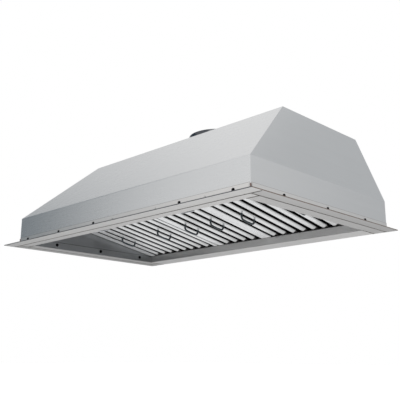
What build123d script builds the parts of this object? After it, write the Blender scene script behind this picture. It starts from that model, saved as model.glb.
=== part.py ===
"""Range hood insert: a sheet-steel canopy with a trim flange, tilted baffle filters and an inner blower.

Millimetres, +Z up. The origin is the centre of the trim flange's footprint, on its underside.
The cook stands on the -Y side, the wall is on the +Y side.
"""
import os
from math import atan2, cos, degrees, radians, sin, tan

from build123d import *

os.makedirs("parts", exist_ok=True)

# ---------------------------------------------------------------- driving sizes
# Trim flange and canopy
flange_width = 1168.4
flange_depth = 712.2
trim_side = 37.8
trim_front = 41.8
trim_back = 1.3
wall_height = 100.2
canopy_height = 333.2
side_setback = 92.0
front_setback = 263.1
sheet = 1.2
bend_radius = 2.6
trim_sheet = 1.5
skirt_height = 29.0
corner_notch = 4.0
butt_gap = 0.3

# Recess in the underside
lip_front = 33.3
lip_side = 41.9
lip_back = 75.8
recess_depth = 25.0
ledge_width = 15.0
liner_overlap = 17.0
liner_above_filter = 34.0
liner_front_corner = 26.0

# Light panel in front of the filters
panel_flange = 17.0
panel_depth = 112.0
panel_rise = 13.4
rail_height = 34.0
rail_gap = 4.0
panel_side_gap = 0.3

# Filters
filter_slope = 10.0
filter_length = 399.0
filter_seat = 12.0
seat_gap = 0.3
centre_filter_width = 225.0
filter_slack = 7.5
filter_gap = 0.6
filter_side_gap = 2.8
frame_depth = 22.0
frame_sheet = 1.0
frame_hem = 2.8
wide_border = 26.5
narrow_border = 14.5
end_border = 15.0
top_border = 10.0
baffle_pitch = 41.6
baffle_width = 26.0
baffle_height = 9.0
baffle_sheet = 0.8
baffle_corner = 4.0
hood_width = 27.6
hood_corner = 2.2
hood_leg = 12.0
hood_top = 20.0
slot_inset = 22.0

# Filter handles
handle_rod = 6.4
handle_span = 64.4
handle_drop = 19.6
handle_corner = 11.0
handle_bow = 1.6
handle_from_seat = 192.0
baffles_outside_side_handle = 1
baffles_outside_centre_handle = 0

# Clips that hold the front of the filters
clip_sheet = 0.8
clip_width = 20.0
clip_top = 26.0
clip_nose = 19.5
clip_foot = 12.0
clip_gap = 0.5
clip_inset = 60.0

# Fasteners
trim_screw_pitch = 196.0
front_screw_edge = 40.0
front_bare_place = 3
side_screw_pitch = 202.0
side_screw_count = 3
side_screw_centre = 20.0
screw_height = 18.5
screw_head = 5.0
liner_screw_head = 6.0
screw_head_height = 2.2
screw_flat = 1.4
screw_shank = 1.6
screw_hole = 1.9
screw_length = 9.0
pilot_hole = 1.6
liner_screw_pitch = 200.5
liner_screw_centre = 15.5
liner_screw_height = 15.0

# Lamps
lamp_spacing = 412.0
lamp_from_lip = 61.0
lamp_radius = 38.0
lamp_height = 9.0
lamp_round = 2.5
lamp_window = 29.0
lamp_glass = 3.0
lamp_can_radius = 33.0
lamp_can_height = 34.0
lamp_module = 24.0
lamp_module_top = 14.0
lamp_module_height = 22.0
lamp_module_step = 17.0

# Controls
control_length = 152.0
control_width = 28.0
control_sheet = 2.0
button_spacing = 34.0
button_radius = 6.6
button_clearance = 0.35
button_stand = 3.0
button_travel = 2.5
button_collar = 1.4
switch_size = 6.0
switch_body = 3.6
switch_gap = 0.3
board_thickness = 1.6
board_post = 2.5
board_post_edge = 4.2

# Duct collar and back-draught flaps
collar_from_back = 207.4
collar_radius = 101.6
collar_height = 64.0
collar_wall = 1.6
collar_flange = 16.0
collar_step = 1.6
collar_step_level = 15.0
collar_foot = 1.5
collar_screw_angle = 55.0
flap_clearance = 1.6
flap_sheet = 1.0
flap_level = 18.0
flap_edge = 4.4
flap_stop = 3.6
pin_radius = 2.0
pin_clearance = 0.06
knuckle_wall = 1.4
knuckle_length = 18.0
knuckle_pitch = 38.0

# Blower
scroll_width = 190.0
scroll_radius = 128.0
scroll_step = 14.0
scroll_sheet = 1.2
outlet_depth = 115.0
wheel_height = 195.0
wheel_radius = 78.0
wheel_length = 160.0
wheel_inner = 62.0
wheel_plate = 2.0
blade_count = 36
bracket_arms = 3
blade_sheet = 1.0
blade_curve = 3.2
hub_radius = 14.0
hub_length = 22.0
shaft_beyond_hub = 1.2
shaft_end_gap = 6.0
shaft_radius = 5.0
shaft_clearance = 0.05
motor_radius = 42.0
motor_length = 84.0
motor_round = 6.0
motor_from_plate = 14.0
inlet_radius = 66.0
inlet_lip = 8.0
inlet_sheet = 1.5
inlet_edge = 1.2
arm_width = 12.0
arm_sheet = 3.0
foot_radius = 82.0
foot_size = 6.0
outlet_corner = 8.0
mount_plate = 226.0
mount_screw_edge = 9.0

# Wiring box
box_length = 110.0
box_width = 74.0
box_height = 42.0
box_sheet = 1.5
box_from_side = 124.4
box_from_back = 62.8
terminal_width = 22.0
terminal_height = 16.0
terminal_length = 62.0
terminal_pitch = 13.0
terminal_ways = 4
terminal_hole = 3.2
terminal_hole_depth = 5.0
terminal_from_box_end = 27.5
gland_radius = 11.0
gland_bore = 4.5
gland_height = 14.0
gland_flange = 3.5
capacitor_radius = 17.5
capacitor_length = 62.0
capacitor_round = 3.0
capacitor_from_box = 17.5

# ---------------------------------------------------------------- places that follow
half_width = flange_width / 2
half_depth = flange_depth / 2
wall_x = half_width - trim_side
front_screw_count = 1 + int(2 * (wall_x - front_screw_edge) // trim_screw_pitch)
front_spots = [
    (trim_screw_pitch * (place - (front_screw_count - 1) / 2), screw_height)
    for place in range(front_screw_count)
    if place != front_bare_place
]
wall_front = -half_depth + trim_front
wall_back = half_depth - trim_back
top_x = wall_x - side_setback
top_front = wall_front + front_setback
roof = canopy_height - sheet
open_x = wall_x - lip_side
open_front = wall_front + lip_front
open_back = wall_back - lip_back
liner_x = open_x + sheet
collar_y = wall_back - collar_from_back
box_x = top_x - box_from_side
box_y = wall_back - box_from_back

slope_tan = tan(radians(filter_slope))
slope_cos = cos(radians(filter_slope))
slope_sin = sin(radians(filter_slope))
ledge_fall = ledge_width * slope_tan
seat_z = recess_depth + seat_gap
filter_reach = filter_length - filter_seat
rail_z = seat_z + filter_reach * slope_sin
filter_front = open_back - filter_reach * slope_cos
rail_y = filter_front - rail_gap

panel_front = open_front - sheet
panel_edge_z = recess_depth + seat_gap
panel_back = panel_front + panel_depth
panel_angle = degrees(atan2(panel_rise, panel_depth))
mount_screw = mount_plate / 2 - mount_screw_edge
blower_spots = [
    (x * mount_screw, collar_y + y * mount_screw)
    for x in (-1, 1)
    for y in (-1, 1)
]
collar_screw_ring = collar_radius + collar_flange / 2
collar_spots = [
    (
        x * collar_screw_ring * cos(radians(collar_screw_angle)),
        collar_y + y * collar_screw_ring * sin(radians(collar_screw_angle)),
    )
    for x in (-1, 1)
    for y in (-1, 1)
]
filter_span = open_x - filter_side_gap
side_filter_width = (2 * filter_span - centre_filter_width - filter_slack - filter_gap) / 2
side_filter_x = filter_span - side_filter_width / 2
centre_filter_x = (filter_slack - filter_gap) / 2


def save(piece, name):
    piece.part.label = name
    export_step(piece.part, f"parts/{name}.step")


# ---------------------------------------------------------------- canopy shell
def side_view(inset):
    """Outline of the canopy seen from the side, drawn in by an inset."""
    with BuildSketch(Plane.YZ) as view:
        with BuildLine():
            Polyline(
                (wall_front, 0),
                (wall_front, wall_height),
                (top_front, canopy_height),
                (wall_back, canopy_height),
                (wall_back, 0),
                close=True,
            )
        make_face()
        front_bend = view.vertices().group_by(Axis.X)[0].sort_by(Axis.Y)[-1]
        fillet(front_bend, bend_radius)
        if inset:
            offset(amount=-inset, kind=Kind.INTERSECTION, mode=Mode.REPLACE)
    return view.sketch


def front_view():
    """Outline of the canopy seen from the front."""
    with BuildSketch(Plane.XZ) as view:
        with BuildLine():
            Polyline(
                (-wall_x, 0),
                (-wall_x, wall_height),
                (-top_x, canopy_height),
                (top_x, canopy_height),
                (wall_x, wall_height),
                (wall_x, 0),
                close=True,
            )
        make_face()
        side_bends = view.vertices().group_by(Axis.Y)[1]
        fillet(side_bends, bend_radius)
    return view.sketch


front_outline = front_view()
side_outline = side_view(0)
side_inner = side_view(sheet)
skin_height = canopy_height - 2 * sheet
skin_middle = canopy_height / 2

with BuildPart() as front_panel:
    with BuildSketch(Plane.YZ):
        with BuildLine():
            FilletPolyline(
                (wall_front, 0),
                (wall_front, wall_height),
                (top_front, canopy_height),
                radius=bend_radius,
            )
            offset(amount=sheet, side=Side.RIGHT)
        make_face()
    extrude(amount=wall_x, both=True)
    extrude(front_outline, amount=half_depth, both=True, mode=Mode.INTERSECT)
    with Locations((0, 0, skin_middle)):
        Box(flange_width, flange_depth, skin_height, mode=Mode.INTERSECT)
    with Locations(Plane.XZ.offset(-wall_front)):
        with Locations(*front_spots):
            Hole(screw_hole, depth=2 * sheet)
        with Locations((0, screw_height)):
            with GridLocations(trim_screw_pitch, 1, front_screw_count - 1, 1):
                Hole(pilot_hole, depth=2 * sheet)
save(front_panel, "front_panel")


def side_panel(side):
    """Side wall and side slope, bent from one sheet, between the front and back panels."""
    with BuildPart() as panel:
        with BuildSketch(Plane.XZ):
            with BuildLine():
                FilletPolyline(
                    (side * wall_x, 0),
                    (side * wall_x, wall_height),
                    (side * top_x, canopy_height),
                    radius=bend_radius,
                )
                offset(amount=sheet, side=Side.LEFT if side > 0 else Side.RIGHT)
            make_face()
        extrude(amount=half_depth, both=True)
        extrude(side_inner, amount=half_width, both=True, mode=Mode.INTERSECT)
        with Locations(Plane.YZ.offset(side * wall_x)):
            with Locations((side_screw_centre, screw_height)):
                with GridLocations(side_screw_pitch, 1, side_screw_count, 1):
                    Hole(screw_hole, depth=2 * sheet)
    return panel


left_panel = side_panel(-1)
save(left_panel, "left_panel")
right_panel = side_panel(1)
save(right_panel, "right_panel")

with BuildPart() as back_panel:
    extrude(front_outline, amount=wall_back, dir=(0, 1, 0))
    extrude(front_outline, amount=wall_back - sheet, dir=(0, 1, 0), mode=Mode.SUBTRACT)
    with Locations((0, 0, skin_middle)):
        Box(flange_width, 2 * flange_depth, skin_height, mode=Mode.INTERSECT)
save(back_panel, "back_panel")

with BuildPart() as top_panel:
    extrude(front_outline, amount=half_depth, both=True)
    extrude(side_outline, amount=half_width, both=True, mode=Mode.INTERSECT)
    with Locations((0, 0, roof + sheet / 2)):
        Box(flange_width, flange_depth, sheet, mode=Mode.INTERSECT)
    with Locations((0, collar_y, roof)):
        Hole(collar_radius - collar_wall - flap_stop)
    with Locations((box_x, box_y, roof)):
        Hole(gland_radius + butt_gap)
    with Locations(*blower_spots, *collar_spots):
        Hole(screw_hole, depth=canopy_height + sheet)
save(top_panel, "top_panel")

# ---------------------------------------------------------------- trim flange
with BuildPart() as front_trim:
    with BuildSketch(Plane.YZ):
        with BuildLine():
            Polyline(
                (-half_depth, 0),
                (-half_depth, trim_sheet),
                (wall_front - trim_sheet, trim_sheet),
                (wall_front - trim_sheet, skirt_height),
                (wall_front, skirt_height),
                (wall_front, 0),
                close=True,
            )
        make_face()
    extrude(amount=wall_x - corner_notch, both=True)
    with BuildSketch(Plane.XY):
        with Locations((0, (wall_front - half_depth) / 2)):
            Rectangle(flange_width, trim_front)
    extrude(amount=trim_sheet)
    with Locations(Plane.XZ.offset(-wall_front + trim_sheet)):
        with Locations(*front_spots):
            Hole(screw_hole, depth=2 * trim_sheet)
        with Locations((0, screw_height)):
            with GridLocations(trim_screw_pitch, 1, front_screw_count - 1, 1):
                Hole(pilot_hole, depth=2 * trim_sheet)
save(front_trim, "front_trim")


def side_trim(side):
    """Side strip of the flange, which butts against the front strip, with its upright skirt."""
    skirt_front = wall_front + corner_notch
    strip_front = wall_front + butt_gap
    with BuildPart() as trim:
        with BuildSketch(Plane.XY):
            with Locations((side * (wall_x + half_width) / 2, (strip_front + half_depth) / 2)):
                Rectangle(trim_side, half_depth - strip_front)
        extrude(amount=trim_sheet)
        with BuildSketch(Plane.XY):
            with Locations((side * (wall_x + trim_sheet / 2), (skirt_front + wall_back) / 2)):
                Rectangle(trim_sheet, wall_back - skirt_front)
        extrude(amount=skirt_height)
        with Locations(Plane.YZ.offset(side * wall_x)):
            with Locations((side_screw_centre, screw_height)):
                with GridLocations(side_screw_pitch, 1, side_screw_count, 1):
                    Hole(screw_hole, depth=2 * trim_sheet)
    return trim


left_trim = side_trim(-1)
save(left_trim, "left_trim")
right_trim = side_trim(1)
save(right_trim, "right_trim")


def screws_at(plane, spots, head=screw_head):
    """Pan-head screws on a plane whose normal points out of the sheet they go through."""
    with BuildPart() as screw:
        with BuildSketch(Plane.XZ):
            with BuildLine():
                Line((0, -screw_length), (screw_shank, -screw_length))
                Line((screw_shank, -screw_length), (screw_shank, 0))
                Line((screw_shank, 0), (head, 0))
                Line((head, 0), (head, screw_head_height / 3))
                RadiusArc(
                    (head, screw_head_height / 3),
                    (screw_flat, screw_head_height),
                    -head,
                )
                Line((screw_flat, screw_head_height), (0, screw_head_height))
                Line((0, screw_head_height), (0, -screw_length))
            make_face()
        revolve(axis=Axis.Z)
    with BuildPart() as screws:
        with Locations(plane):
            with Locations(*spots):
                add(screw.part)
    return screws


front_skirt = Plane.XZ.offset(-wall_front + trim_sheet)
front_screws = screws_at(front_skirt, front_spots)
save(front_screws, "front_trim_screws")


def side_spots(centre, pitch, height):
    """Places of the three screws along one side."""
    return [
        (centre + pitch * (index - (side_screw_count - 1) / 2), height)
        for index in range(side_screw_count)
    ]


def side_screws(x, inward, centre, pitch, height, head=screw_head):
    """Screws on both sides, mirrored; inward heads face the recess."""
    facing = -1 if inward else 1
    right_plane = Plane(origin=(x, 0, 0), x_dir=(0, facing, 0), z_dir=(facing, 0, 0))
    spots = [(facing * y, z) for y, z in side_spots(centre, pitch, height)]
    right_screws = screws_at(right_plane, spots, head)
    with BuildPart() as screws:
        add(right_screws.part)
        mirror(about=Plane.YZ)
    return screws


skirt_screws = side_screws(
    wall_x + trim_sheet, False, side_screw_centre, side_screw_pitch, screw_height
)
save(skirt_screws, "side_trim_screws")
liner_screws = side_screws(
    open_x, True, liner_screw_centre, liner_screw_pitch, liner_screw_height, liner_screw_head
)
save(liner_screws, "liner_screws")

# ---------------------------------------------------------------- lips round the recess
with BuildPart() as front_lip:
    with BuildSketch(Plane.XY):
        with Locations((0, (wall_front + open_front) / 2)):
            Rectangle(2 * wall_x, lip_front)
    extrude(amount=sheet)
    with BuildSketch(Plane.XY):
        with Locations((0, open_front - sheet / 2)):
            Rectangle(2 * open_x, sheet)
    extrude(amount=recess_depth)
save(front_lip, "front_lip")


def side_lip(side):
    """Side strip of the underside with the upright wall of the recess."""
    with BuildPart() as lip:
        with BuildSketch(Plane.XY):
            with Locations((side * (wall_x + open_x) / 2, (open_front + wall_back) / 2)):
                Rectangle(lip_side, wall_back - open_front)
        extrude(amount=sheet)
        with BuildSketch(Plane.XY):
            with Locations((side * (open_x + sheet / 2), (open_front + open_back) / 2)):
                Rectangle(sheet, open_back - open_front)
        extrude(amount=recess_depth)
        with Locations(Plane.YZ.offset(side * open_x)):
            with Locations(*side_spots(liner_screw_centre, liner_screw_pitch, liner_screw_height)):
                Hole(screw_hole, depth=2 * sheet)
    return lip


left_lip = side_lip(-1)
save(left_lip, "left_lip")
right_lip = side_lip(1)
save(right_lip, "right_lip")

with BuildPart() as back_lip:
    with BuildSketch(Plane.YZ):
        with BuildLine():
            Polyline(
                (wall_back, 0),
                (open_back, 0),
                (open_back, recess_depth),
                (open_back + ledge_width, recess_depth - ledge_fall),
                (open_back + ledge_width, recess_depth - ledge_fall - sheet),
                (open_back + sheet, recess_depth - sheet - sheet * slope_tan),
                (open_back + sheet, sheet),
                (wall_back, sheet),
                close=True,
            )
        make_face()
    extrude(amount=open_x, both=True)
save(back_lip, "back_lip")

# ---------------------------------------------------------------- inner side walls
liner_back = open_back + ledge_width
liner_back_top = seat_z - ledge_fall + liner_above_filter
liner_front_top = rail_z + liner_above_filter


def side_liner(side):
    """Inner side wall, from the recess wall up past the edge of the filters."""
    with BuildPart() as liner:
        with BuildSketch(Plane.YZ.offset(side * liner_x)):
            with BuildLine():
                Polyline(
                    (open_front, recess_depth - liner_overlap),
                    (open_front, liner_front_top - liner_front_corner),
                    (open_front + liner_front_corner, liner_front_top),
                    (rail_y, liner_front_top),
                    (liner_back, liner_back_top),
                    (liner_back, recess_depth - liner_overlap),
                    close=True,
                )
            make_face()
        extrude(amount=side * sheet)
        with Locations(Plane.YZ.offset(side * liner_x)):
            with Locations(*side_spots(liner_screw_centre, liner_screw_pitch, liner_screw_height)):
                Hole(screw_hole, depth=2 * sheet)
    return liner


left_liner = side_liner(-1)
save(left_liner, "left_liner")
right_liner = side_liner(1)
save(right_liner, "right_liner")

# ---------------------------------------------------------------- light panel
panel_tilt = radians(panel_angle)
lamp_along = lamp_from_lip / cos(panel_tilt)
panel_face = Plane(
    origin=(0, panel_front, panel_edge_z),
    x_dir=(1, 0, 0),
    z_dir=(0, sin(panel_tilt), -cos(panel_tilt)),
)
lamp_spots = [(-lamp_spacing / 2, -lamp_along), (lamp_spacing / 2, -lamp_along)]
button_spots = [
    (button_spacing * (index - 1.5), -lamp_along)
    for index in range(4)
]

with BuildPart() as light_panel:
    with BuildSketch(Plane.YZ):
        with BuildLine():
            FilletPolyline(
                (panel_front, recess_depth - panel_flange),
                (panel_front, panel_edge_z),
                (panel_back, panel_edge_z + panel_rise),
                (rail_y, rail_z),
                (rail_y, rail_z + rail_height),
                radius=0.1,
            )
            offset(amount=sheet, side=Side.LEFT)
        make_face()
    extrude(amount=liner_x - panel_side_gap, both=True)
    with Locations(panel_face):
        with Locations(*lamp_spots):
            Hole(lamp_can_radius + panel_side_gap, depth=4 * sheet)
        with Locations(*button_spots):
            Hole(button_radius + 4 * button_clearance, depth=4 * sheet)
save(light_panel, "light_panel")

clip_reach = rail_gap + clip_nose * slope_tan - clip_gap - clip_sheet
with BuildPart() as clip:
    with BuildSketch(Plane.YZ):
        with BuildLine():
            FilletPolyline(
                (rail_y, rail_z + rail_height - sheet),
                (rail_y, rail_z + clip_top),
                (rail_y + clip_reach, rail_z + clip_nose),
                (rail_y + clip_reach / 4, rail_z + clip_foot),
                radius=clip_sheet,
            )
            offset(amount=clip_sheet, side=Side.LEFT)
        make_face()
    extrude(amount=clip_width / 2, both=True)

clip_half = side_filter_width / 2 - clip_inset
centre_clip_half = centre_filter_width / 2 - clip_inset
clip_spots = [
    -side_filter_x - clip_half,
    -side_filter_x + clip_half,
    centre_filter_x - centre_clip_half,
    centre_filter_x + centre_clip_half,
    side_filter_x - clip_half,
    side_filter_x + clip_half,
]
with BuildPart() as filter_clips:
    with Locations(*[(x, 0, 0) for x in clip_spots]):
        add(clip.part)
save(filter_clips, "filter_clips")

# ---------------------------------------------------------------- filters
filter_plane = Plane(
    origin=(0, open_back, seat_z),
    x_dir=(1, 0, 0),
    z_dir=(0, slope_sin, slope_cos),
)
frame_middle = filter_seat - filter_length / 2
cavity_length = filter_length - 2 * frame_sheet
handle_middle = -handle_from_seat


def filter_frame(x, width):
    """Rim of one filter: a channel section folded round all four sides, wider on its left."""
    bottom_opening = (width - wide_border - narrow_border, filter_length - 2 * end_border)
    opening_shift = (wide_border - narrow_border) / 2
    top_opening = (width - 2 * top_border, filter_length - 2 * top_border)
    with BuildPart() as frame:
        with BuildSketch(filter_plane):
            with Locations((x, frame_middle)):
                Rectangle(width, filter_length)
            with Locations((x + opening_shift, frame_middle)):
                Rectangle(*bottom_opening, mode=Mode.SUBTRACT)
        extrude(amount=frame_hem)
        with BuildSketch(filter_plane.offset(frame_hem)):
            with Locations((x, frame_middle)):
                Rectangle(width, filter_length)
                Rectangle(width - 2 * frame_sheet, cavity_length, mode=Mode.SUBTRACT)
        extrude(amount=frame_depth - frame_hem - frame_sheet)
        with BuildSketch(filter_plane.offset(frame_depth - frame_sheet)):
            with Locations((x, frame_middle)):
                Rectangle(width, filter_length)
                Rectangle(*top_opening, mode=Mode.SUBTRACT)
        extrude(amount=frame_sheet)
    return frame


def channel(x, bottom, width, height, corner):
    """Bent sheet channel, closed side down for a positive height, up for a negative one."""
    section = Plane(
        origin=filter_plane.from_local_coords((x, frame_middle + cavity_length / 2, bottom)),
        x_dir=(1, 0, 0),
        z_dir=-filter_plane.y_dir,
    )
    with BuildPart() as trough:
        with BuildSketch(section):
            with BuildLine():
                FilletPolyline(
                    (-width / 2, height),
                    (-width / 2, 0),
                    (width / 2, 0),
                    (width / 2, height),
                    radius=corner,
                )
                offset(amount=baffle_sheet, side=Side.LEFT if height > 0 else Side.RIGHT)
            make_face()
        extrude(amount=cavity_length)
    return trough


def slots_across(width):
    """Slots that fit between the two sides of a filter, one pitch apart."""
    return 1 + int((width - 2 * slot_inset) // baffle_pitch)


def row_of(piece, count):
    """Copies of a baffle, one pitch apart and centred."""
    with BuildPart() as row:
        with Locations(*[(baffle_pitch * (i - (count - 1) / 2), 0, 0) for i in range(count)]):
            add(piece.part)
    return row


def filter_handles(spots):
    """D-shaped grab rods that stand on the left edge of the lower baffles."""
    half = handle_span / 2
    face = frame_hem
    with BuildPart() as handles:
        for x in spots:
            across = Plane(
                origin=filter_plane.from_local_coords((x, handle_middle, face)),
                x_dir=filter_plane.y_dir,
                z_dir=filter_plane.x_dir,
            )
            foot = Plane(
                origin=filter_plane.from_local_coords((x, handle_middle - half, face)),
                x_dir=(1, 0, 0),
                z_dir=-filter_plane.z_dir,
            )
            with BuildLine(across):
                FilletPolyline(
                    (-half, 0),
                    (-half, -handle_drop + handle_bow),
                    (0, -handle_drop),
                    (half, -handle_drop + handle_bow),
                    (half, 0),
                    radius=[handle_corner, handle_corner * 2, handle_corner],
                )
            with BuildSketch(foot):
                Circle(handle_rod / 2)
            sweep()
    return handles


def make_filter(name, x, width, baffles_outside_handle):
    """One baffle filter: rim, lower baffles, upper hoods and two handles."""
    slots = slots_across(width)
    frame = filter_frame(x, width)
    save(frame, f"{name}_filter_frame")
    lower = channel(x, frame_hem, baffle_width, baffle_height, baffle_corner)
    save(row_of(lower, slots - 1), f"{name}_filter_baffles")
    upper = channel(x, hood_top, hood_width, -hood_leg, hood_corner)
    save(row_of(upper, slots), f"{name}_filter_hoods")
    foot_shift = (handle_rod - baffle_width) / 2
    handle_reach = baffle_pitch * (slots / 2 - 1 - baffles_outside_handle)
    spots = [x + side * handle_reach + foot_shift for side in (-1, 1)]
    save(filter_handles(spots), f"{name}_filter_handles")


make_filter("left", -side_filter_x, side_filter_width, baffles_outside_side_handle)
make_filter("centre", centre_filter_x, centre_filter_width, baffles_outside_centre_handle)
make_filter("right", side_filter_x, side_filter_width, baffles_outside_side_handle)

# ---------------------------------------------------------------- lamps
def turned(plane, spots, *corners, smooth=()):
    """Ring or disc turned round the plane's normal at each spot, from a corner list."""
    with BuildPart() as piece:
        with BuildSketch(Plane.XZ) as profile:
            with BuildLine():
                Polyline(*corners, close=True)
            make_face()
            for corner, radius in smooth:
                fillet(profile.vertices().sort_by_distance((*corner, 0))[0], radius)
        revolve(axis=Axis.Z)
    with BuildPart() as group:
        with Locations(plane):
            with Locations(*spots):
                add(piece.part)
    return group


lamp_bezels = turned(
    panel_face,
    lamp_spots,
    (lamp_window, lamp_height - lamp_glass),
    (lamp_window, lamp_height),
    (lamp_radius - lamp_round, lamp_height),
    (lamp_radius, lamp_height - lamp_round),
    (lamp_radius, 0),
    (lamp_can_radius - sheet, 0),
    (lamp_can_radius - sheet, lamp_height - lamp_glass),
)
save(lamp_bezels, "lamp_bezels")
lamp_lenses = turned(
    panel_face,
    lamp_spots,
    (0, lamp_height - 2 * lamp_glass),
    (0, lamp_height - lamp_glass),
    (lamp_can_radius - sheet - panel_side_gap, lamp_height - lamp_glass),
    (lamp_can_radius - sheet - panel_side_gap, lamp_height - 2 * lamp_glass),
)
save(lamp_lenses, "lamp_lenses")
lamp_cans = turned(
    panel_face,
    lamp_spots,
    (lamp_can_radius, 0),
    (lamp_can_radius, -lamp_can_height),
    (0, -lamp_can_height),
    (0, -lamp_can_height + sheet),
    (lamp_can_radius - sheet, -lamp_can_height + sheet),
    (lamp_can_radius - sheet, 0),
)
save(lamp_cans, "lamp_cans")
lamp_modules = turned(
    panel_face,
    lamp_spots,
    (0, -lamp_can_height + sheet),
    (lamp_module, -lamp_can_height + sheet),
    (lamp_module, -lamp_can_height + sheet + lamp_module_step),
    (lamp_module_top, -lamp_can_height + sheet + lamp_module_height),
    (0, -lamp_can_height + sheet + lamp_module_height),
)
save(lamp_modules, "lamp_modules")

# ---------------------------------------------------------------- controls
control_spot = (0, -lamp_along)
with BuildPart() as control_plate:
    with BuildSketch(panel_face):
        with Locations(control_spot):
            RectangleRounded(control_length, control_width, control_width / 2 - sheet)
        with Locations(*button_spots):
            Circle(button_radius + button_clearance, mode=Mode.SUBTRACT)
    extrude(amount=control_sheet)
save(control_plate, "control_plate")

button_names = ("power", "slower", "faster", "light")
for name, spot in zip(button_names, button_spots):
    button = turned(
        panel_face,
        [spot],
        (0, control_sheet + button_stand),
        (button_radius - button_collar, control_sheet + button_stand),
        (button_radius, control_sheet + button_stand - button_collar),
        (button_radius, -panel_side_gap),
        (button_radius + 2 * button_clearance, -panel_side_gap),
        (button_radius + 2 * button_clearance, -panel_side_gap - button_collar),
        (0, -panel_side_gap - button_collar),
    )
    save(button, f"{name}_button")

board_level = panel_side_gap + button_collar + button_travel + switch_gap + switch_body
with BuildPart() as control_board:
    with BuildSketch(panel_face.offset(-board_level)):
        with Locations(control_spot):
            Rectangle(control_length, control_width)
    extrude(amount=-board_thickness)
    with BuildSketch(panel_face.offset(-board_level)):
        with Locations(*button_spots):
            Rectangle(switch_size, switch_size)
    extrude(amount=switch_body)
    with BuildSketch(panel_face.offset(-board_level)):
        with Locations(control_spot):
            with GridLocations(
                control_length - 2 * board_post_edge,
                control_width - 2 * board_post_edge,
                2,
                2,
            ):
                Circle(board_post)
    extrude(amount=board_level - sheet)
save(control_board, "control_board")

# ---------------------------------------------------------------- duct collar and flaps
collar_base = Plane.XY.offset(canopy_height)
collar_place = [(0, collar_y)]
collar_bore = collar_radius - collar_wall
stop_top = flap_level - flap_sheet / 2 - seat_gap
duct_collar = turned(
    collar_base,
    collar_place,
    (collar_bore, collar_height),
    (collar_radius, collar_height),
    (collar_radius, collar_step_level),
    (collar_radius + collar_step, collar_step_level),
    (collar_radius + collar_step, collar_foot),
    (collar_radius + collar_flange, collar_foot),
    (collar_radius + collar_flange, 0),
    (collar_bore, 0),
    (collar_bore, stop_top - sheet),
    (collar_bore - flap_stop, stop_top - sheet),
    (collar_bore - flap_stop, stop_top),
    (collar_bore, stop_top),
)
hinge_line = Plane(origin=(0, collar_y, canopy_height + flap_level), z_dir=(1, 0, 0))
with BuildPart() as collar_drilled:
    add(duct_collar.part)
    with Locations(hinge_line):
        Cylinder(pin_radius + pin_clearance, 3 * collar_radius, mode=Mode.SUBTRACT)
    with Locations(Plane.XY.offset(canopy_height + collar_foot)):
        with Locations(*collar_spots):
            Hole(screw_hole, depth=2 * collar_foot)
save(collar_drilled, "duct_collar")

with BuildPart() as damper_pin:
    with Locations(hinge_line):
        Cylinder(pin_radius, 2 * collar_radius - collar_wall)
save(damper_pin, "damper_pin")


def damper_flap(side):
    """Half-round flap that hangs on the pin by two knuckles, in front (-1) or behind (1)."""
    flap_radius = collar_bore - flap_clearance
    knuckle_radius = pin_radius + pin_clearance + knuckle_wall
    knuckles = [side * knuckle_pitch * step for step in (-0.5, 1.5)]
    with BuildPart() as flap:
        with BuildSketch(Plane.XY.offset(canopy_height + flap_level - flap_sheet / 2)):
            with Locations((0, collar_y)):
                Circle(flap_radius)
            with Locations((0, collar_y - side * (flap_radius - flap_edge / 2))):
                Rectangle(
                    2 * flap_radius, 2 * flap_radius + flap_edge, mode=Mode.SUBTRACT
                )
            with Locations(*[(x, collar_y + side * flap_edge / 2) for x in knuckles]):
                Rectangle(knuckle_length, flap_edge + 2 * flap_sheet)
        extrude(amount=flap_sheet)
        with Locations(hinge_line):
            with Locations(*[Location((0, 0, x)) for x in knuckles]):
                Cylinder(knuckle_radius, knuckle_length)
            Cylinder(pin_radius + pin_clearance, 3 * collar_radius, mode=Mode.SUBTRACT)
    return flap


front_flap = damper_flap(-1)
save(front_flap, "front_flap")
rear_flap = damper_flap(1)
save(rear_flap, "rear_flap")
collar_screws = screws_at(Plane.XY.offset(canopy_height + collar_foot), collar_spots)
blower_screws = screws_at(Plane.XY.offset(canopy_height), blower_spots)
with BuildPart() as roof_screws:
    add(collar_screws.part)
    add(blower_screws.part)
save(roof_screws, "roof_screws")

# ---------------------------------------------------------------- blower
wheel_y = collar_y + scroll_radius + scroll_step / 2 - outlet_depth / 2
outlet_front = wheel_y - scroll_step / 2 - scroll_radius
outlet_rear = outlet_front + outlet_depth
neck_top = roof - scroll_sheet
cheek_inside = scroll_width / 2 - scroll_sheet
wheel_plane = Plane(origin=(0, wheel_y, wheel_height), x_dir=(0, 1, 0), z_dir=(1, 0, 0))


def scroll_section(inset):
    """Snail outline from three quarter turns, each one step tighter, with the outlet up."""
    half_step = scroll_step / 2
    first = (wheel_y - half_step, wheel_height + half_step)
    second = (wheel_y - half_step, wheel_height - half_step)
    third = (wheel_y + half_step, wheel_height - half_step)
    first_radius = scroll_radius - inset
    second_radius = first_radius - scroll_step
    third_radius = second_radius - scroll_step
    tongue = third[1] + third_radius
    with BuildSketch(Plane.YZ) as section:
        with BuildLine():
            Line((outlet_front + inset, neck_top), (outlet_front + inset, first[1]))
            CenterArc(first, first_radius, 180, 90)
            CenterArc(second, second_radius, 270, 90)
            CenterArc(third, third_radius, 0, 90)
            FilletPolyline(
                (third[0], tongue),
                (outlet_rear - inset, tongue),
                (outlet_rear - inset, neck_top),
                radius=outlet_corner + inset,
            )
            Line((outlet_rear - inset, neck_top), (outlet_front + inset, neck_top))
        make_face()
    return section.sketch


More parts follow.
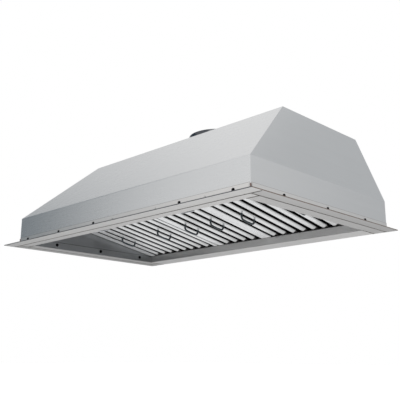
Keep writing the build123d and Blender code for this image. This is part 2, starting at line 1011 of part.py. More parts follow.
scroll_outside = scroll_section(0)
scroll_inside = scroll_section(scroll_sheet)
with BuildPart() as blower_scroll:
    extrude(scroll_outside, amount=cheek_inside, both=True)
    extrude(scroll_inside, amount=cheek_inside, both=True, mode=Mode.SUBTRACT)
save(blower_scroll, "blower_scroll")

with BuildPart() as blower_cheeks:
    extrude(scroll_outside, amount=scroll_width / 2, both=True)
    extrude(scroll_outside, amount=cheek_inside, both=True, mode=Mode.SUBTRACT)
    with Locations(wheel_plane):
        Cylinder(inlet_radius, 2 * scroll_width, mode=Mode.SUBTRACT)
save(blower_cheeks, "blower_cheeks")

with BuildPart() as blower_plate:
    with BuildSketch(Plane.XY.offset(neck_top)):
        with Locations((0, collar_y)):
            Rectangle(mount_plate, mount_plate)
        with Locations((0, outlet_front + outlet_depth / 2)):
            Rectangle(2 * cheek_inside, outlet_depth - 2 * scroll_sheet, mode=Mode.SUBTRACT)
    extrude(amount=scroll_sheet)
    with Locations(Plane.XY.offset(roof)):
        with Locations(*blower_spots, *collar_spots):
            Hole(screw_hole, depth=2 * scroll_sheet)
save(blower_plate, "blower_plate")


def inlet_ring(side):
    """Ring round one inlet, with its throat turned in towards the wheel."""
    face = Plane(origin=(side * scroll_width / 2, wheel_y, wheel_height), z_dir=(side, 0, 0))
    throat = inlet_radius - 2 * inlet_sheet
    return turned(
        face,
        [(0, 0)],
        (throat, -inlet_lip),
        (throat, inlet_sheet),
        (inlet_radius + inlet_lip, inlet_sheet),
        (inlet_radius + inlet_lip, 0),
        (throat + inlet_sheet, 0),
        (throat + inlet_sheet, -inlet_lip),
        smooth=[((throat, inlet_sheet), inlet_edge)],
    )


with BuildPart() as inlet_rings:
    add(inlet_ring(-1).part)
    add(inlet_ring(1).part)
save(inlet_rings, "inlet_rings")

blade_inner = wheel_inner + blade_sheet
blade_outer = wheel_radius - blade_sheet
with BuildSketch(wheel_plane) as blades:
    with BuildSketch(Plane.XY, mode=Mode.PRIVATE) as blade:
        with BuildLine():
            ThreePointArc(
                (blade_inner, 0),
                ((blade_inner + blade_outer) / 2, blade_curve),
                (blade_outer, 0),
            )
            offset(amount=blade_sheet, side=Side.LEFT)
        make_face()
    with PolarLocations(0, blade_count):
        add(blade.sketch)

with BuildPart() as wheel_blades:
    extrude(blades.sketch, amount=wheel_length / 2, both=True)
save(wheel_blades, "wheel_blades")

ring_middle = (wheel_length + wheel_plate) / 2
with BuildPart() as wheel_discs:
    with BuildSketch(wheel_plane.offset(-ring_middle), wheel_plane.offset(ring_middle)):
        Circle(wheel_radius)
        Circle(wheel_inner, mode=Mode.SUBTRACT)
    extrude(amount=wheel_plate / 2, both=True)
    with BuildSketch(wheel_plane):
        Circle(wheel_inner)
    extrude(amount=wheel_plate / 2, both=True)
    with BuildSketch(wheel_plane):
        Circle(hub_radius)
    extrude(amount=hub_length / 2, both=True)
    with Locations(wheel_plane):
        Cylinder(shaft_radius, 2 * wheel_length, mode=Mode.SUBTRACT)
save(wheel_discs, "wheel_discs")

motor_face = -motor_from_plate
motor_rear = motor_face - motor_length
with BuildPart() as motor:
    with BuildSketch(wheel_plane.offset(motor_face)):
        Circle(motor_radius)
    extrude(amount=-motor_length)
    rims = motor.edges().filter_by(GeomType.CIRCLE)
    fillet(rims, motor_round)
    with Locations(wheel_plane.offset(motor_face)):
        Hole(shaft_radius + shaft_clearance, depth=motor_length - motor_round)
save(motor, "motor")

shaft_left = motor_rear + motor_round + shaft_end_gap
with BuildPart() as motor_shaft:
    with BuildSketch(wheel_plane.offset(shaft_left)):
        Circle(shaft_radius)
    extrude(amount=hub_length / 2 + shaft_beyond_hub - shaft_left)
save(motor_shaft, "motor_shaft")

with BuildPart() as motor_bracket:
    with BuildSketch(wheel_plane.offset(motor_rear)):
        Circle(motor_radius / 2)
        with PolarLocations(foot_radius / 2, bracket_arms):
            Rectangle(foot_radius, arm_width)
        with PolarLocations(foot_radius, bracket_arms):
            Circle(foot_size)
    extrude(amount=-arm_sheet)
    with BuildSketch(wheel_plane.offset(motor_rear)):
        with PolarLocations(foot_radius, bracket_arms):
            Circle(foot_size)
    extrude(amount=-motor_rear - scroll_width / 2)
save(motor_bracket, "motor_bracket")

# ---------------------------------------------------------------- wiring box
box_bottom = roof - box_height
with BuildPart() as wiring_box:
    with BuildSketch(Plane.XY.offset(box_bottom)):
        with Locations((box_x, box_y)):
            Rectangle(box_length, box_width)
    extrude(amount=box_height)
    with BuildSketch(Plane.XY.offset(box_bottom)):
        with Locations((box_x, box_y)):
            Rectangle(box_length - 2 * box_sheet, box_width - 2 * box_sheet)
    extrude(amount=box_height - box_sheet, mode=Mode.SUBTRACT)
    with Locations((box_x, box_y, roof)):
        Hole(gland_radius + butt_gap, depth=2 * box_sheet)
save(wiring_box, "wiring_box")

with BuildPart() as wiring_cover:
    with BuildSketch(Plane.XY.offset(box_bottom)):
        with Locations((box_x, box_y)):
            Rectangle(box_length + 2 * box_sheet, box_width + 2 * box_sheet)
    extrude(amount=-box_sheet)
save(wiring_cover, "wiring_cover")

terminal_x = box_x - box_length / 2 + terminal_from_box_end
with BuildPart() as terminal_block:
    with BuildSketch(Plane.XY.offset(roof - box_sheet)):
        with Locations((terminal_x, box_y)):
            Rectangle(terminal_width, terminal_length)
    extrude(amount=-terminal_height)
    with BuildSketch(Plane.XY.offset(roof - box_sheet - terminal_height)):
        with Locations((terminal_x, box_y)):
            with GridLocations(terminal_width / 2, terminal_pitch, 2, terminal_ways):
                Circle(terminal_hole)
    extrude(amount=terminal_hole_depth, mode=Mode.SUBTRACT)
save(terminal_block, "terminal_block")

cable_gland = turned(
    Plane.XY.offset(canopy_height),
    [(box_x, box_y)],
    (gland_bore, -sheet - box_sheet - gland_flange),
    (gland_radius, -sheet - box_sheet - gland_flange),
    (gland_radius, 0),
    (gland_radius + gland_flange, 0),
    (gland_radius + gland_flange, gland_flange),
    (gland_radius, gland_flange),
    (gland_bore + gland_flange, gland_height),
    (gland_bore, gland_height),
)
save(cable_gland, "cable_gland")

capacitor_x = box_x - box_length / 2 - capacitor_from_box - capacitor_radius
with BuildPart() as capacitor:
    with BuildSketch(Plane.XY.offset(roof)):
        with Locations((capacitor_x, box_y)):
            Circle(capacitor_radius)
    extrude(amount=-capacitor_length)
    fillet(capacitor.edges().filter_by(GeomType.CIRCLE).sort_by(Axis.Z)[0], capacitor_round)
save(capacitor, "capacitor")
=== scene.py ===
from math import atan, cos, hypot, pi, radians, sin

import bmesh
import bpy
from mathutils import Matrix, Vector


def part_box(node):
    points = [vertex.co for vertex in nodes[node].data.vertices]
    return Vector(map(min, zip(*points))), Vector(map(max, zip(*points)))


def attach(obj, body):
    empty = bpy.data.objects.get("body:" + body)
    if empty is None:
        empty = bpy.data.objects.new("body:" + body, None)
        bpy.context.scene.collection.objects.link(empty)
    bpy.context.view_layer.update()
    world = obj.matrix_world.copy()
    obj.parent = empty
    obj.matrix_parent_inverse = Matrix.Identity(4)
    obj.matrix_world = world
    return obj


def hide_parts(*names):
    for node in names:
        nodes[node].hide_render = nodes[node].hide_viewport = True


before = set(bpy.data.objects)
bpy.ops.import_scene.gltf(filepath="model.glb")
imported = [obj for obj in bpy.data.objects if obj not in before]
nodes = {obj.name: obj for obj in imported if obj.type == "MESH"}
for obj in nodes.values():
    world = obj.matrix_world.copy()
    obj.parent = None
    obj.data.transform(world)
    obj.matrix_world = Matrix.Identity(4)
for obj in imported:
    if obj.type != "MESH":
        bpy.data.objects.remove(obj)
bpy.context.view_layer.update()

MM = 0.001
X, Y, Z = 0, 1, 2
LOW, HIGH = 0, 1


def reach(node, end, axis):
    """Where a CAD node ends along an axis, in millimetres."""
    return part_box(node)[end][axis] / MM


# ---------------------------------------------------------------- sizes in millimetres
# Read from the frame
half_width = reach("right_trim", HIGH, X)
half_depth = -reach("front_trim", LOW, Y)
wall_x = reach("right_panel", HIGH, X)
wall_front = reach("front_panel", LOW, Y)
wall_back = reach("back_panel", HIGH, Y)
roof_top = reach("top_panel", HIGH, Z)
open_x = -reach("left_lip", HIGH, X)
open_front = reach("left_lip", LOW, Y)
open_back = reach("back_lip", LOW, Y)
collar_y = (reach("duct_collar", LOW, Y) + reach("duct_collar", HIGH, Y)) / 2
box_x = (reach("wiring_box", LOW, X) + reach("wiring_box", HIGH, X)) / 2
box_y = (reach("wiring_box", LOW, Y) + reach("wiring_box", HIGH, Y)) / 2
box_floor = reach("wiring_cover", LOW, Z)
box_half_x = (reach("wiring_cover", HIGH, X) - reach("wiring_cover", LOW, X)) / 2
box_half_y = (reach("wiring_cover", HIGH, Y) - reach("wiring_cover", LOW, Y)) / 2
# The same as in the CAD part: sheets, flange and recess
SHEET = 1.2
TRIM_SHEET = 1.5
SKIRT_TOP = 29.0
WALL_HEIGHT = 100.2
RECESS_DEPTH = 25.0
# Filters, from the ledge that they hang on
SEAT_LEVEL = 25.3
FILTER_TILT = 10.0
FILTER_LENGTH = 399.0
FILTER_SEAT = 12.0
FRAME_HEM = 2.8
WIDE_BORDER = 26.5
NARROW_BORDER = 14.5
END_BORDER = 15.0
BAFFLE_PITCH = 41.6
BAFFLE_WIDTH = 26.0
HOOD_TOP = 20.0
# side: middle, width, baffles, baffles outside the handle
FILTERS = {
    "left": (-309.125, 385.15, 8, 1),
    "centre": (3.45, 225.0, 4, 0),
    "right": (309.125, 385.15, 8, 1),
}
# Handles
HANDLE_ROD = 6.4
HANDLE_SPAN = 64.4
HANDLE_DROP = 19.6
HANDLE_CORNER = 11.0
HANDLE_BOW = 1.6
HANDLE_FROM_SEAT = 192.0
FOOT_SHIFT = (HANDLE_ROD - BAFFLE_WIDTH) / 2
# Screws
SCREW_HEAD = 5.0
LINER_SCREW_HEAD = 6.0
COVER_SCREW_HEAD = 3.4
SCREW_HEAD_HEIGHT = 2.2
SCREW_HEIGHT = 18.5
FRONT_SCREW_PITCH = 196.0
FRONT_SCREWS = 6
FRONT_BARE_PLACE = 3
SIDE_SCREWS = 3
SIDE_SCREW_PITCH = 202.0
SIDE_SCREW_CENTRE = 20.0
LINER_SCREW_PITCH = 200.5
LINER_SCREW_CENTRE = 15.5
LINER_SCREW_HEIGHT = 15.0
COLLAR_SCREW_ANGLE = 55.0
MOUNT_SCREW = 104.0
COVER_SCREW_INSET = 7.0
# Light panel, lamps and buttons
PANEL_RISE = 13.4
PANEL_DEPTH = 112.0
LAMP_SPACING = 412.0
LAMP_FROM_LIP = 61.0
LAMP_RADIUS = 38.0
LAMP_HEIGHT = 9.0
LAMP_WINDOW = 29.0
LAMP_CAN_RADIUS = 33.0
BUTTON_SPACING = 34.0
BUTTON_TOP = 5.0
# Duct collar and cable gland
COLLAR_RADIUS = 101.6
COLLAR_WALL = 1.6
COLLAR_HEIGHT = 64.0
COLLAR_FLANGE = 16.0
COLLAR_STEP_LEVEL = 15.0
COLLAR_FOOT = 1.5
STOP_LOW, STOP_HIGH = 16.0, 17.2
STOP_WIDTH = 3.6
GLAND_RADIUS = 11.0
GLAND_FLANGE = 3.5
GLAND_BORE = 4.5
GLAND_HEIGHT = 14.0
GLAND_TAIL = 6.2


# ---------------------------------------------------------------- shader tools
class Value:
    """A shader socket whose arithmetic adds Math nodes."""

    def __init__(self, shader, socket):
        self.shader = shader
        self.socket = socket

    def maths(self, operation, first, second=0.0):
        return self.shader.node("Math", {"operation": operation}, {0: first, 1: second})

    def __add__(self, other):
        return self.maths("ADD", self, other)

    def __sub__(self, other):
        return self.maths("SUBTRACT", self, other)

    def __rsub__(self, other):
        return self.maths("SUBTRACT", other, self)

    def __mul__(self, other):
        return self.maths("MULTIPLY", self, other)

    def __truediv__(self, other):
        return self.maths("DIVIDE", self, other)

    def __abs__(self):
        return self.maths("ABSOLUTE", self)

    __radd__ = __add__
    __rmul__ = __mul__

    def within(self, low, high):
        """0 at low, 1 at high, smooth between; low may be the larger."""
        settings = {"interpolation_type": "SMOOTHSTEP"}
        return self.shader.node("MapRange", settings, {0: self, 1: low, 2: high})

    def larger(self, other):
        return self.maths("MAXIMUM", self, other)

    def part_of(self, period):
        """How far into its period the value is, from 0 to 1."""
        return self.maths("FRACT", self / period)


class Shader:
    """A node tree whose nodes are all added by one method."""

    def __init__(self, tree):
        self.tree = tree

    def node(self, kind, settings=None, sockets=None, output=0):
        """Adds a node with its settings, then its sockets, and gives one output."""
        made = self.tree.nodes.new("ShaderNode" + kind)
        for key, setting in (settings or {}).items():
            if key == "stops":
                self.fill_ramp(made.color_ramp.elements, setting)
            else:
                setattr(made, key, setting)
        for key, given in (sockets or {}).items():
            if isinstance(given, Value):
                self.tree.links.new(given.socket, made.inputs[key])
            else:
                made.inputs[key].default_value = given
        return Value(self, made.outputs[output])

    def fill_ramp(self, elements, stops):
        """Sets a ramp's stops, each a place and a grey level."""
        while len(elements) < len(stops):
            elements.new(0.5)
        for element, (place, level) in zip(elements, stops):
            element.position = place
            element.color = (level, level, level, 1)

    def axes(self, vector):
        """The x, y and z of a vector."""
        return [self.node("SeparateXYZ", None, {0: vector}, axis) for axis in range(3)]

    def ray(self, kind):
        return self.node("LightPath", None, None, f"Is {kind} Ray")

    def show(self, kind, value):
        """Sends a shader to the tree's output."""
        self.tree.links.new(value.socket, self.tree.nodes[kind].inputs["Surface"])


class Finish(Shader):
    """One procedural material, built around a Principled shader."""

    def __init__(self, name, **constants):
        self.material = bpy.data.materials.new(name)
        self.material.use_nodes = True
        super().__init__(self.material.node_tree)
        self.surface = self.tree.nodes["Principled BSDF"]
        for socket, constant in constants.items():
            self.surface.inputs[socket.replace("_", " ")].default_value = constant
        self.place = self.node("TexCoord", output="Object")

    def turned(self, scale, turn=(0, 0, 0)):
        """Object coordinates, turned and then stretched by a scale for each axis."""
        straight = self.node("Mapping", None, {"Vector": self.place, "Rotation": turn})
        return self.node("Mapping", None, {"Vector": straight, "Scale": scale})

    def in_millimetres(self, tilt=0.0, origin=(0, 0, 0)):
        """The place from an origin, turned back by a tilt about X, in millimetres."""
        start = tuple(-part * MM for part in origin)
        moved = self.node("Mapping", None, {"Vector": self.place, "Location": start})
        sockets = {"Vector": moved, "Rotation": (radians(tilt), 0, 0), "Scale": (1 / MM,) * 3}
        return self.axes(self.node("Mapping", None, sockets))

    def noise(self, vector, scale=1.0, detail=2.0, rough=0.5):
        sockets = {"Vector": vector, "Scale": scale, "Detail": detail, "Roughness": rough}
        return self.node("TexNoise", None, sockets)

    def blend(self, factor, first, second):
        """Colour that goes from the first tone to the second."""
        return self.node("Mix", {"data_type": "RGBA"}, {0: factor, 6: first, 7: second}, 2)

    def bump(self, height, strength, distance):
        sockets = {"Strength": strength, "Distance": distance, "Height": height}
        self.send("Normal", self.node("Bump", None, sockets))

    def send(self, socket, value):
        self.tree.links.new(value.socket, self.surface.inputs[socket])


def grey(level, warm=0.0):
    """A neutral colour, a little warmer or cooler."""
    return (level * (1 + warm), level, level * (1 - warm), 1)


FINE_NOISE = {"detail": 3.0, "rough": 0.6}
# Brushed sheet. Scales are per metre, and each share is a part of the whole shade
GRAIN_ACROSS, GRAIN_ALONG = 1500.0, 12.0
STREAK_ACROSS, STREAK_ALONG = 60.0, 1.5
CLOUD_SCALE = 4.0
GRAIN_SHARE, STREAK_SHARE, CLOUD_SHARE = 0.4, 0.3, 0.3
TONE_SWING = 0.05
SHADE_LOW, SHADE_HIGH = 0.3, 0.7
GRAIN_SHEEN, CLOUD_SHEEN = 0.08, 0.05
GRAIN_RELIEF, STREAK_RELIEF = 0.8, 0.2
BRUSH_STRENGTH = 0.04
BRUSH_DEPTH = 0.0001
ZONE_FADE = 0.15
# Paint, plastic, oxide and plating
MOTTLE_LOW, MOTTLE_HIGH = 0.35, 0.65
COAT_ROUGH = 0.12
SLOW_SCALE = 22.0
SLOW_SHEEN, FINE_SHEEN = 0.12, 0.08
TEXTURE_DEPTH = 0.0002
# Painted shade on the filters. Places across a baffle are shares of its pitch, the rest is in
# millimetres
FILTER_METAL = 0.35
FLAT_SHADE = 0.50
SHADED_STEEL = grey(0.18)
PAINTED_SLOT_SHADE = grey(0.012)
PAINTED_STRIP_SHADE = grey(0.02)
PAINTED_HOOD_SHADE = grey(0.010)
FLAT_SHADE_START, FLAT_SHADE_END = 0.56, 0.86
FOLD_SHADE_START, FOLD_SHADE_END = FRAME_HEM + 0.9, FRAME_HEM + 3.0
WEDGE_REACH = 13.0
WEDGE_START, WEDGE_END = 0.30, 0.84
WEDGE_FADE_START, WEDGE_FADE_END = -0.8, 0.4
PITCHES_ASIDE = 100
STRIP_FADE = 0.6
HOOD_TOP_START, HOOD_TOP_END = HOOD_TOP - 0.4, HOOD_TOP - 0.15


def sheet_metal(name, tone, along, rough, warm, turn=(0, 0, 0), streaks=1.0):
    """Brushed stainless sheet with grain, streaks and faint clouds. Gives finish and colour."""
    finish = Finish(name, Metallic=1.0, Specular_IOR_Level=0.5)
    fine = [GRAIN_ACROSS] * 3
    broad = [STREAK_ACROSS] * 3
    fine[along] = GRAIN_ALONG
    broad[along] = STREAK_ALONG
    grain = finish.noise(finish.turned(fine, turn), **FINE_NOISE)
    streak = finish.noise(finish.turned(broad, turn))
    cloud = finish.noise(finish.place, CLOUD_SCALE)
    shade = GRAIN_SHARE * grain + STREAK_SHARE * streak + CLOUD_SHARE * cloud
    light = grey(tone * (1 + TONE_SWING * streaks), warm)
    dark = grey(tone * (1 - TONE_SWING * streaks), warm)
    colour = finish.blend(shade.within(SHADE_LOW, SHADE_HIGH), dark, light)
    finish.send("Roughness", rough + GRAIN_SHEEN * (grain - 0.5) + CLOUD_SHEEN * (cloud - 0.5))
    relief = grain * GRAIN_RELIEF + streak * STREAK_RELIEF
    finish.bump(relief, BRUSH_STRENGTH * streaks, BRUSH_DEPTH)
    return finish, colour


def brushed_steel(name, tone, along, rough=0.34, warm=-0.012, streaks=1.0):
    """Brushed sheet in one tone."""
    finish, colour = sheet_metal(name, tone, along, rough, warm, streaks=streaks)
    finish.send("Base Color", colour)
    return finish.material


def zoned_steel(name, tone, along, zones, rough=0.32, warm=0.01, streaks=1.0):
    """Brushed sheet with zones beyond a level on an axis, such as cut edges, in colours of painted
    light and shade.
    """
    finish, colour = sheet_metal(name, tone, along, rough, warm, streaks=streaks)
    places = finish.in_millimetres()
    for axis, level, zone_colour in zones:
        beyond = abs(places[axis]).within(level - ZONE_FADE, level)
        colour = finish.blend(beyond, colour, zone_colour)
    finish.send("Base Color", colour)
    return finish.material


def filter_sheet(name, middle=0.0, tone=0.80, rough=0.26, warm=-0.012, streaks=0.15):
    """Sheet of a tilted filter. Gives finish, colour and the place in the filter's own axes."""
    turn = (-radians(FILTER_TILT), 0, 0)
    finish, colour = sheet_metal(name, tone, Y, rough, warm, turn, streaks)
    return finish, colour, finish.in_millimetres(FILTER_TILT, (middle, open_back, SEAT_LEVEL))


def baffle_steel(name, middle):
    """Pale baffle sheet with painted shade: soft down one side of each flat, dark on folds and
    rear ends.
    """
    finish, colour, (across, along, above) = filter_sheet(name, middle)
    finish.surface.inputs["Metallic"].default_value = FILTER_METAL
    from_start = across + BAFFLE_PITCH / 2 + PITCHES_ASIDE * BAFFLE_PITCH
    flat = from_start.part_of(BAFFLE_PITCH)
    # Painted shade: a soft darkening down one side of each flat
    shade = FLAT_SHADE * flat.within(FLAT_SHADE_START, FLAT_SHADE_END)
    shaded = finish.blend(shade, colour, SHADED_STEEL)
    # Painted shade: near-black on the folds and in wedges at the rear ends of the slots
    fold = above.within(FOLD_SHADE_START, FOLD_SHADE_END)
    cut = FILTER_SEAT - END_BORDER - WEDGE_REACH * flat.within(WEDGE_START, WEDGE_END)
    wedge = (along - cut).within(WEDGE_FADE_START, WEDGE_FADE_END)
    finish.send("Base Color", finish.blend(fold.larger(wedge), shaded, PAINTED_SLOT_SHADE))
    return finish.material


def frame_steel(name):
    """Pale rim sheet, with painted shade along the strip behind the slots."""
    finish, colour, (_, along, _) = filter_sheet(name)
    finish.surface.inputs["Metallic"].default_value = FILTER_METAL
    end = FILTER_SEAT - END_BORDER
    strip = along.within(end - STRIP_FADE, end)
    finish.send("Base Color", finish.blend(strip, colour, PAINTED_STRIP_SHADE))
    return finish.material


def hood_steel(name):
    """Upper baffle sheet: painted shade makes it dark inside the filter; bright on top."""
    sheet = filter_sheet(name, tone=0.55, rough=0.34, warm=-0.01, streaks=1.0)
    finish, colour, (_, _, above) = sheet
    outside = above.within(HOOD_TOP_START, HOOD_TOP_END)
    finish.send("Base Color", finish.blend(outside, PAINTED_HOOD_SHADE, colour))
    return finish.material


def painted(name, tone, rough, metallic=0.0, coat=0.0, specular=0.5, mottle=0.12, scale=900.0,
            relief=0.2):
    """Paint, plastic, oxide or plating with a fine texture and slow changes of sheen."""
    gloss = {"Coat_Weight": coat, "Coat_Roughness": COAT_ROUGH, "Specular_IOR_Level": specular}
    finish = Finish(name, Metallic=metallic, **gloss)
    fine = finish.noise(finish.place, scale, **FINE_NOISE)
    slow = finish.noise(finish.place, SLOW_SCALE)
    dark = tuple(part * (1 - mottle) for part in tone) + (1,)
    light = tuple(min(1.0, part * (1 + mottle)) for part in tone) + (1,)
    shade = 0.5 * fine + 0.5 * slow
    finish.send("Base Color", finish.blend(shade.within(MOTTLE_LOW, MOTTLE_HIGH), dark, light))
    finish.send("Roughness", rough + SLOW_SHEEN * (slow - 0.5) + FINE_SHEEN * (fine - 0.5))
    finish.bump(fine, relief, TEXTURE_DEPTH)
    return finish.material


def dress(material, *names):
    """Gives CAD nodes their finish."""
    for name in names:
        nodes[name].data.materials.clear()
        nodes[name].data.materials.append(material)


# ---------------------------------------------------------------- finishes
# Painted shade on the flange's cut edges and edge strips: slate on front and back edges, brown on
# the sides
BROWN = (0.22, 0.175, 0.15, 1)
SLATE = (0.12, 0.125, 0.135, 1)
# Upright faces start this far up: painted light on the skirts, painted shade on the side lips'
# recess walls
UPRIGHT_START = 0.3
# Depth of the painted shade line along the skirt tops
TOP_SHADE_LINE = 0.9

# Canopy
# Painted shade: the slope above the front wall is a darker tone of the same sheet
slope_shade_zones = [(Z, WALL_HEIGHT, grey(0.585, -0.01))]
front_sheet = zoned_steel("front_sheet", 0.65, X, slope_shade_zones, rough=0.28, warm=-0.01, streaks=0.3)
dress(front_sheet, "front_panel")
dress(brushed_steel("side_sheet", 0.60, Y, rough=0.32, streaks=0.35), "left_panel", "right_panel")
dress(brushed_steel("roof_sheet", 0.62, X), "top_panel")
back_sheet = brushed_steel("back_sheet", 0.62, X)
dress(back_sheet, "back_panel")

# Flange, recess and light panel
# Painted shade: a thin dark line along the top of each skirt
skirt_top_shade_zone = (Z, SKIRT_TOP - TOP_SHADE_LINE, grey(0.36, 0.02))
# Painted light on the upright skirts, painted shade on the cut edges
front_zones = [(Z, TRIM_SHEET + UPRIGHT_START, grey(0.66, 0.016)), skirt_top_shade_zone]
front_zones += [(Y, half_depth, SLATE), (X, half_width, BROWN)]
side_zones = [(Z, TRIM_SHEET + UPRIGHT_START, grey(0.62, 0.012)), skirt_top_shade_zone]
side_zones += [(X, half_width, BROWN), (Y, half_depth, SLATE)]
# Painted shade: the upright recess walls of the side lips are a dark tone
recess_wall_shade_zones = [(Z, SHEET + UPRIGHT_START, grey(0.28, -0.03))]
# The flange, lip and liner strips are one steel; their tones differ as painted light and shade
dress(zoned_steel("front_trim_sheet", 0.60, Y, front_zones), "front_trim")
dress(zoned_steel("side_trim_sheet", 0.46, Y, side_zones), "left_trim", "right_trim")
dress(brushed_steel("front_lip_sheet", 0.60, Y, rough=0.30, warm=0.01), "front_lip")
dress(brushed_steel("back_lip_sheet", 0.66, X, rough=0.33, warm=0.01), "back_lip")
dress(zoned_steel("side_lip_sheet", 0.50, Y, recess_wall_shade_zones), "left_lip", "right_lip")
# Painted shade: the liners in the recess are a dark tone of the same steel
dress(brushed_steel("liner_sheet", 0.25, Y, rough=0.30, warm=-0.03), "left_liner", "right_liner")
dress(brushed_steel("light_panel_sheet", 0.50, X, rough=0.32), "light_panel")

# Filters
frame_sheet = frame_steel("filter_frame_sheet")
hood_sheet = hood_steel("filter_hood_sheet")
for side, (middle, _, baffles, _) in FILTERS.items():
    last_baffle = middle + (baffles - 1) * BAFFLE_PITCH / 2
    dress(frame_sheet, f"{side}_filter_frame")
    dress(baffle_steel(f"{side}_baffle_sheet", last_baffle), f"{side}_filter_baffles")
    dress(hood_sheet, f"{side}_filter_hoods")
# The handle rods are steel, painted near-black and not metallic: a painted dark reflection
handle_steel = painted("handle_steel", (0.042, 0.054, 0.062), 0.24, specular=0.2)
dress(painted("spring_strip", (0.5, 0.51, 0.53), 0.28, metallic=1.0), "filter_clips")

# Lamps and buttons
buttons = ("power", "slower", "faster", "light")
lamp_rim = painted("lamp_rim", (0.05, 0.06, 0.08), 0.22, metallic=1.0)
bright_ring = painted("bright_ring", (0.80, 0.82, 0.85), 0.16, metallic=1.0, relief=0.05)
lens_frost = painted("lamp_lens", (0.14, 0.18, 0.21), 0.22, coat=0.7, mottle=0.08)
dress(painted("lamp_body", (0.55, 0.55, 0.57), 0.35, metallic=1.0), "lamp_cans", "lamp_modules")
dress(brushed_steel("control_sheet", 0.55, X, rough=0.28), "control_plate")
button_metal = painted("button_metal", (0.55, 0.56, 0.58), 0.2, metallic=1.0)
dress(button_metal, *[f"{name}_button" for name in buttons])
dress(painted("circuit_board", (0.03, 0.16, 0.07), 0.4, coat=0.4), "control_board")
ink = painted("ink", (0.015, 0.015, 0.018), 0.5)

# Collar, blower and wiring
collar_paint = painted("collar_paint", (0.016, 0.022, 0.034), 0.20, coat=0.6, relief=0.08)
zinc = painted("zinc_sheet", (0.60, 0.62, 0.65), 0.38, metallic=1.0, scale=160.0)
dress(zinc, "damper_pin", "front_flap", "rear_flap", "wiring_box", "wiring_cover")
dress(zinc, "blower_scroll", "blower_cheeks", "blower_plate", "inlet_rings")
dress(zinc, "motor_bracket", "wheel_blades", "wheel_discs")
dress(painted("motor_enamel", (0.05, 0.05, 0.055), 0.4), "motor")
dress(painted("ground_shaft", (0.6, 0.6, 0.6), 0.2, metallic=1.0), "motor_shaft")
dress(painted("terminal_plastic", (0.78, 0.76, 0.68), 0.5), "terminal_block")
dress(painted("capacitor_plastic", (0.72, 0.72, 0.70), 0.4), "capacitor")
nylon = painted("black_nylon", (0.02, 0.02, 0.022), 0.45)

# Screws, seams and edges
oxide = painted("black_oxide", (0.004, 0.004, 0.005), 0.8, specular=0.0)
seam_filler = painted("seam_filler", (0.12, 0.108, 0.098), 0.6)
weld_tint = painted("weld_tint", (0.16, 0.085, 0.06), 0.5, metallic=0.5)
# Painted shade along the flange's cut edges: brown at the sides, slate at the front
brown_edge_shade = painted("brown_edge_shade", (0.20, 0.165, 0.145), 0.5, metallic=0.5)
slate_edge_shade = painted("slate_edge_shade", SLATE[:3], 0.5, metallic=0.5)


# ---------------------------------------------------------------- shaping tools
UP, DOWN = (0, 0, 1), (0, 0, -1)
TOUCHING = 1e-4
DEGREES_PER_STEP = 8


def smooth_faces(mesh, sharp_from=35.0):
    """Smooth shading, broken where two faces meet at a real edge."""
    for face in mesh.faces:
        face.smooth = True
    for edge in mesh.edges:
        edge.smooth = edge.is_manifold and edge.calc_face_angle(0) < radians(sharp_from)


def new_piece(name, mesh, material, body="canopy", stands_for=()):
    """Makes a mesh drawn in millimetres into a finished piece that rides on a body."""
    mesh.transform(Matrix.Scale(MM, 4))
    bmesh.ops.remove_doubles(mesh, verts=mesh.verts, dist=TOUCHING * MM)
    bmesh.ops.recalc_face_normals(mesh, faces=mesh.faces)
    smooth_faces(mesh)
    piece = bpy.data.objects.new(name, bpy.data.meshes.new(name))
    mesh.to_mesh(piece.data)
    mesh.free()
    piece.data.materials.append(material)
    bpy.context.scene.collection.objects.link(piece)
    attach(piece, body)
    if stands_for:
        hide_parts(*stands_for)


def add_copies(target, source, places):
    """Adds a copy of one mesh to another at each place."""
    for place in places:
        copy = source.copy()
        copy.transform(place)
        data = bpy.data.meshes.new("copy")
        copy.to_mesh(data)
        copy.free()
        target.from_mesh(data)
        bpy.data.meshes.remove(data)


def move_into(target, source, place=Matrix()):
    """Adds a mesh to another at a place, and frees it."""
    add_copies(target, source, [place])
    source.free()


def repeated_piece(name, source, places, material, stands_for=()):
    """Makes one piece of the canopy from a mesh repeated at its places, and frees the mesh."""
    group = bmesh.new()
    add_copies(group, source, places)
    source.free()
    new_piece(name, group, material, "canopy", stands_for)


def corners_from(radius, height, steps):
    """Corners of a profile, each a step out from a radius and up from a height."""
    return [(radius + out, height + up) for out, up in steps]


def lathe(profile, sides=48, closed=False):
    """Mesh turned about Z from (radius, height) corners."""
    mesh = bmesh.new()
    corners = [mesh.verts.new((radius, 0, height)) for radius, height in profile]
    pairs = list(zip(corners, corners[1:]))
    if closed:
        pairs.append((corners[-1], corners[0]))
    edges = [mesh.edges.new(pair) for pair in pairs]
    turn = {"axis": UP, "angle": 2 * pi, "steps": sides, "use_merge": True}
    bmesh.ops.spin(mesh, geom=corners + edges, cent=(0, 0, 0), **turn)
    bmesh.ops.remove_doubles(mesh, verts=mesh.verts, dist=TOUCHING)
    return mesh


def bar(length, width, height, round_by=0.2):
    """Mesh of a small bar on z = 0, with softened edges."""
    mesh = bmesh.new()
    place = Matrix.Translation((0, 0, height / 2)) @ Matrix.Diagonal((length, width, height, 1))
    bmesh.ops.create_cube(mesh, size=1.0, matrix=place)
    softened = {"offset": round_by * min(width, height), "segments": 2, "profile": 0.5}
    bmesh.ops.bevel(mesh, geom=mesh.edges[:], affect="EDGES", material=-1, **softened)
    return mesh


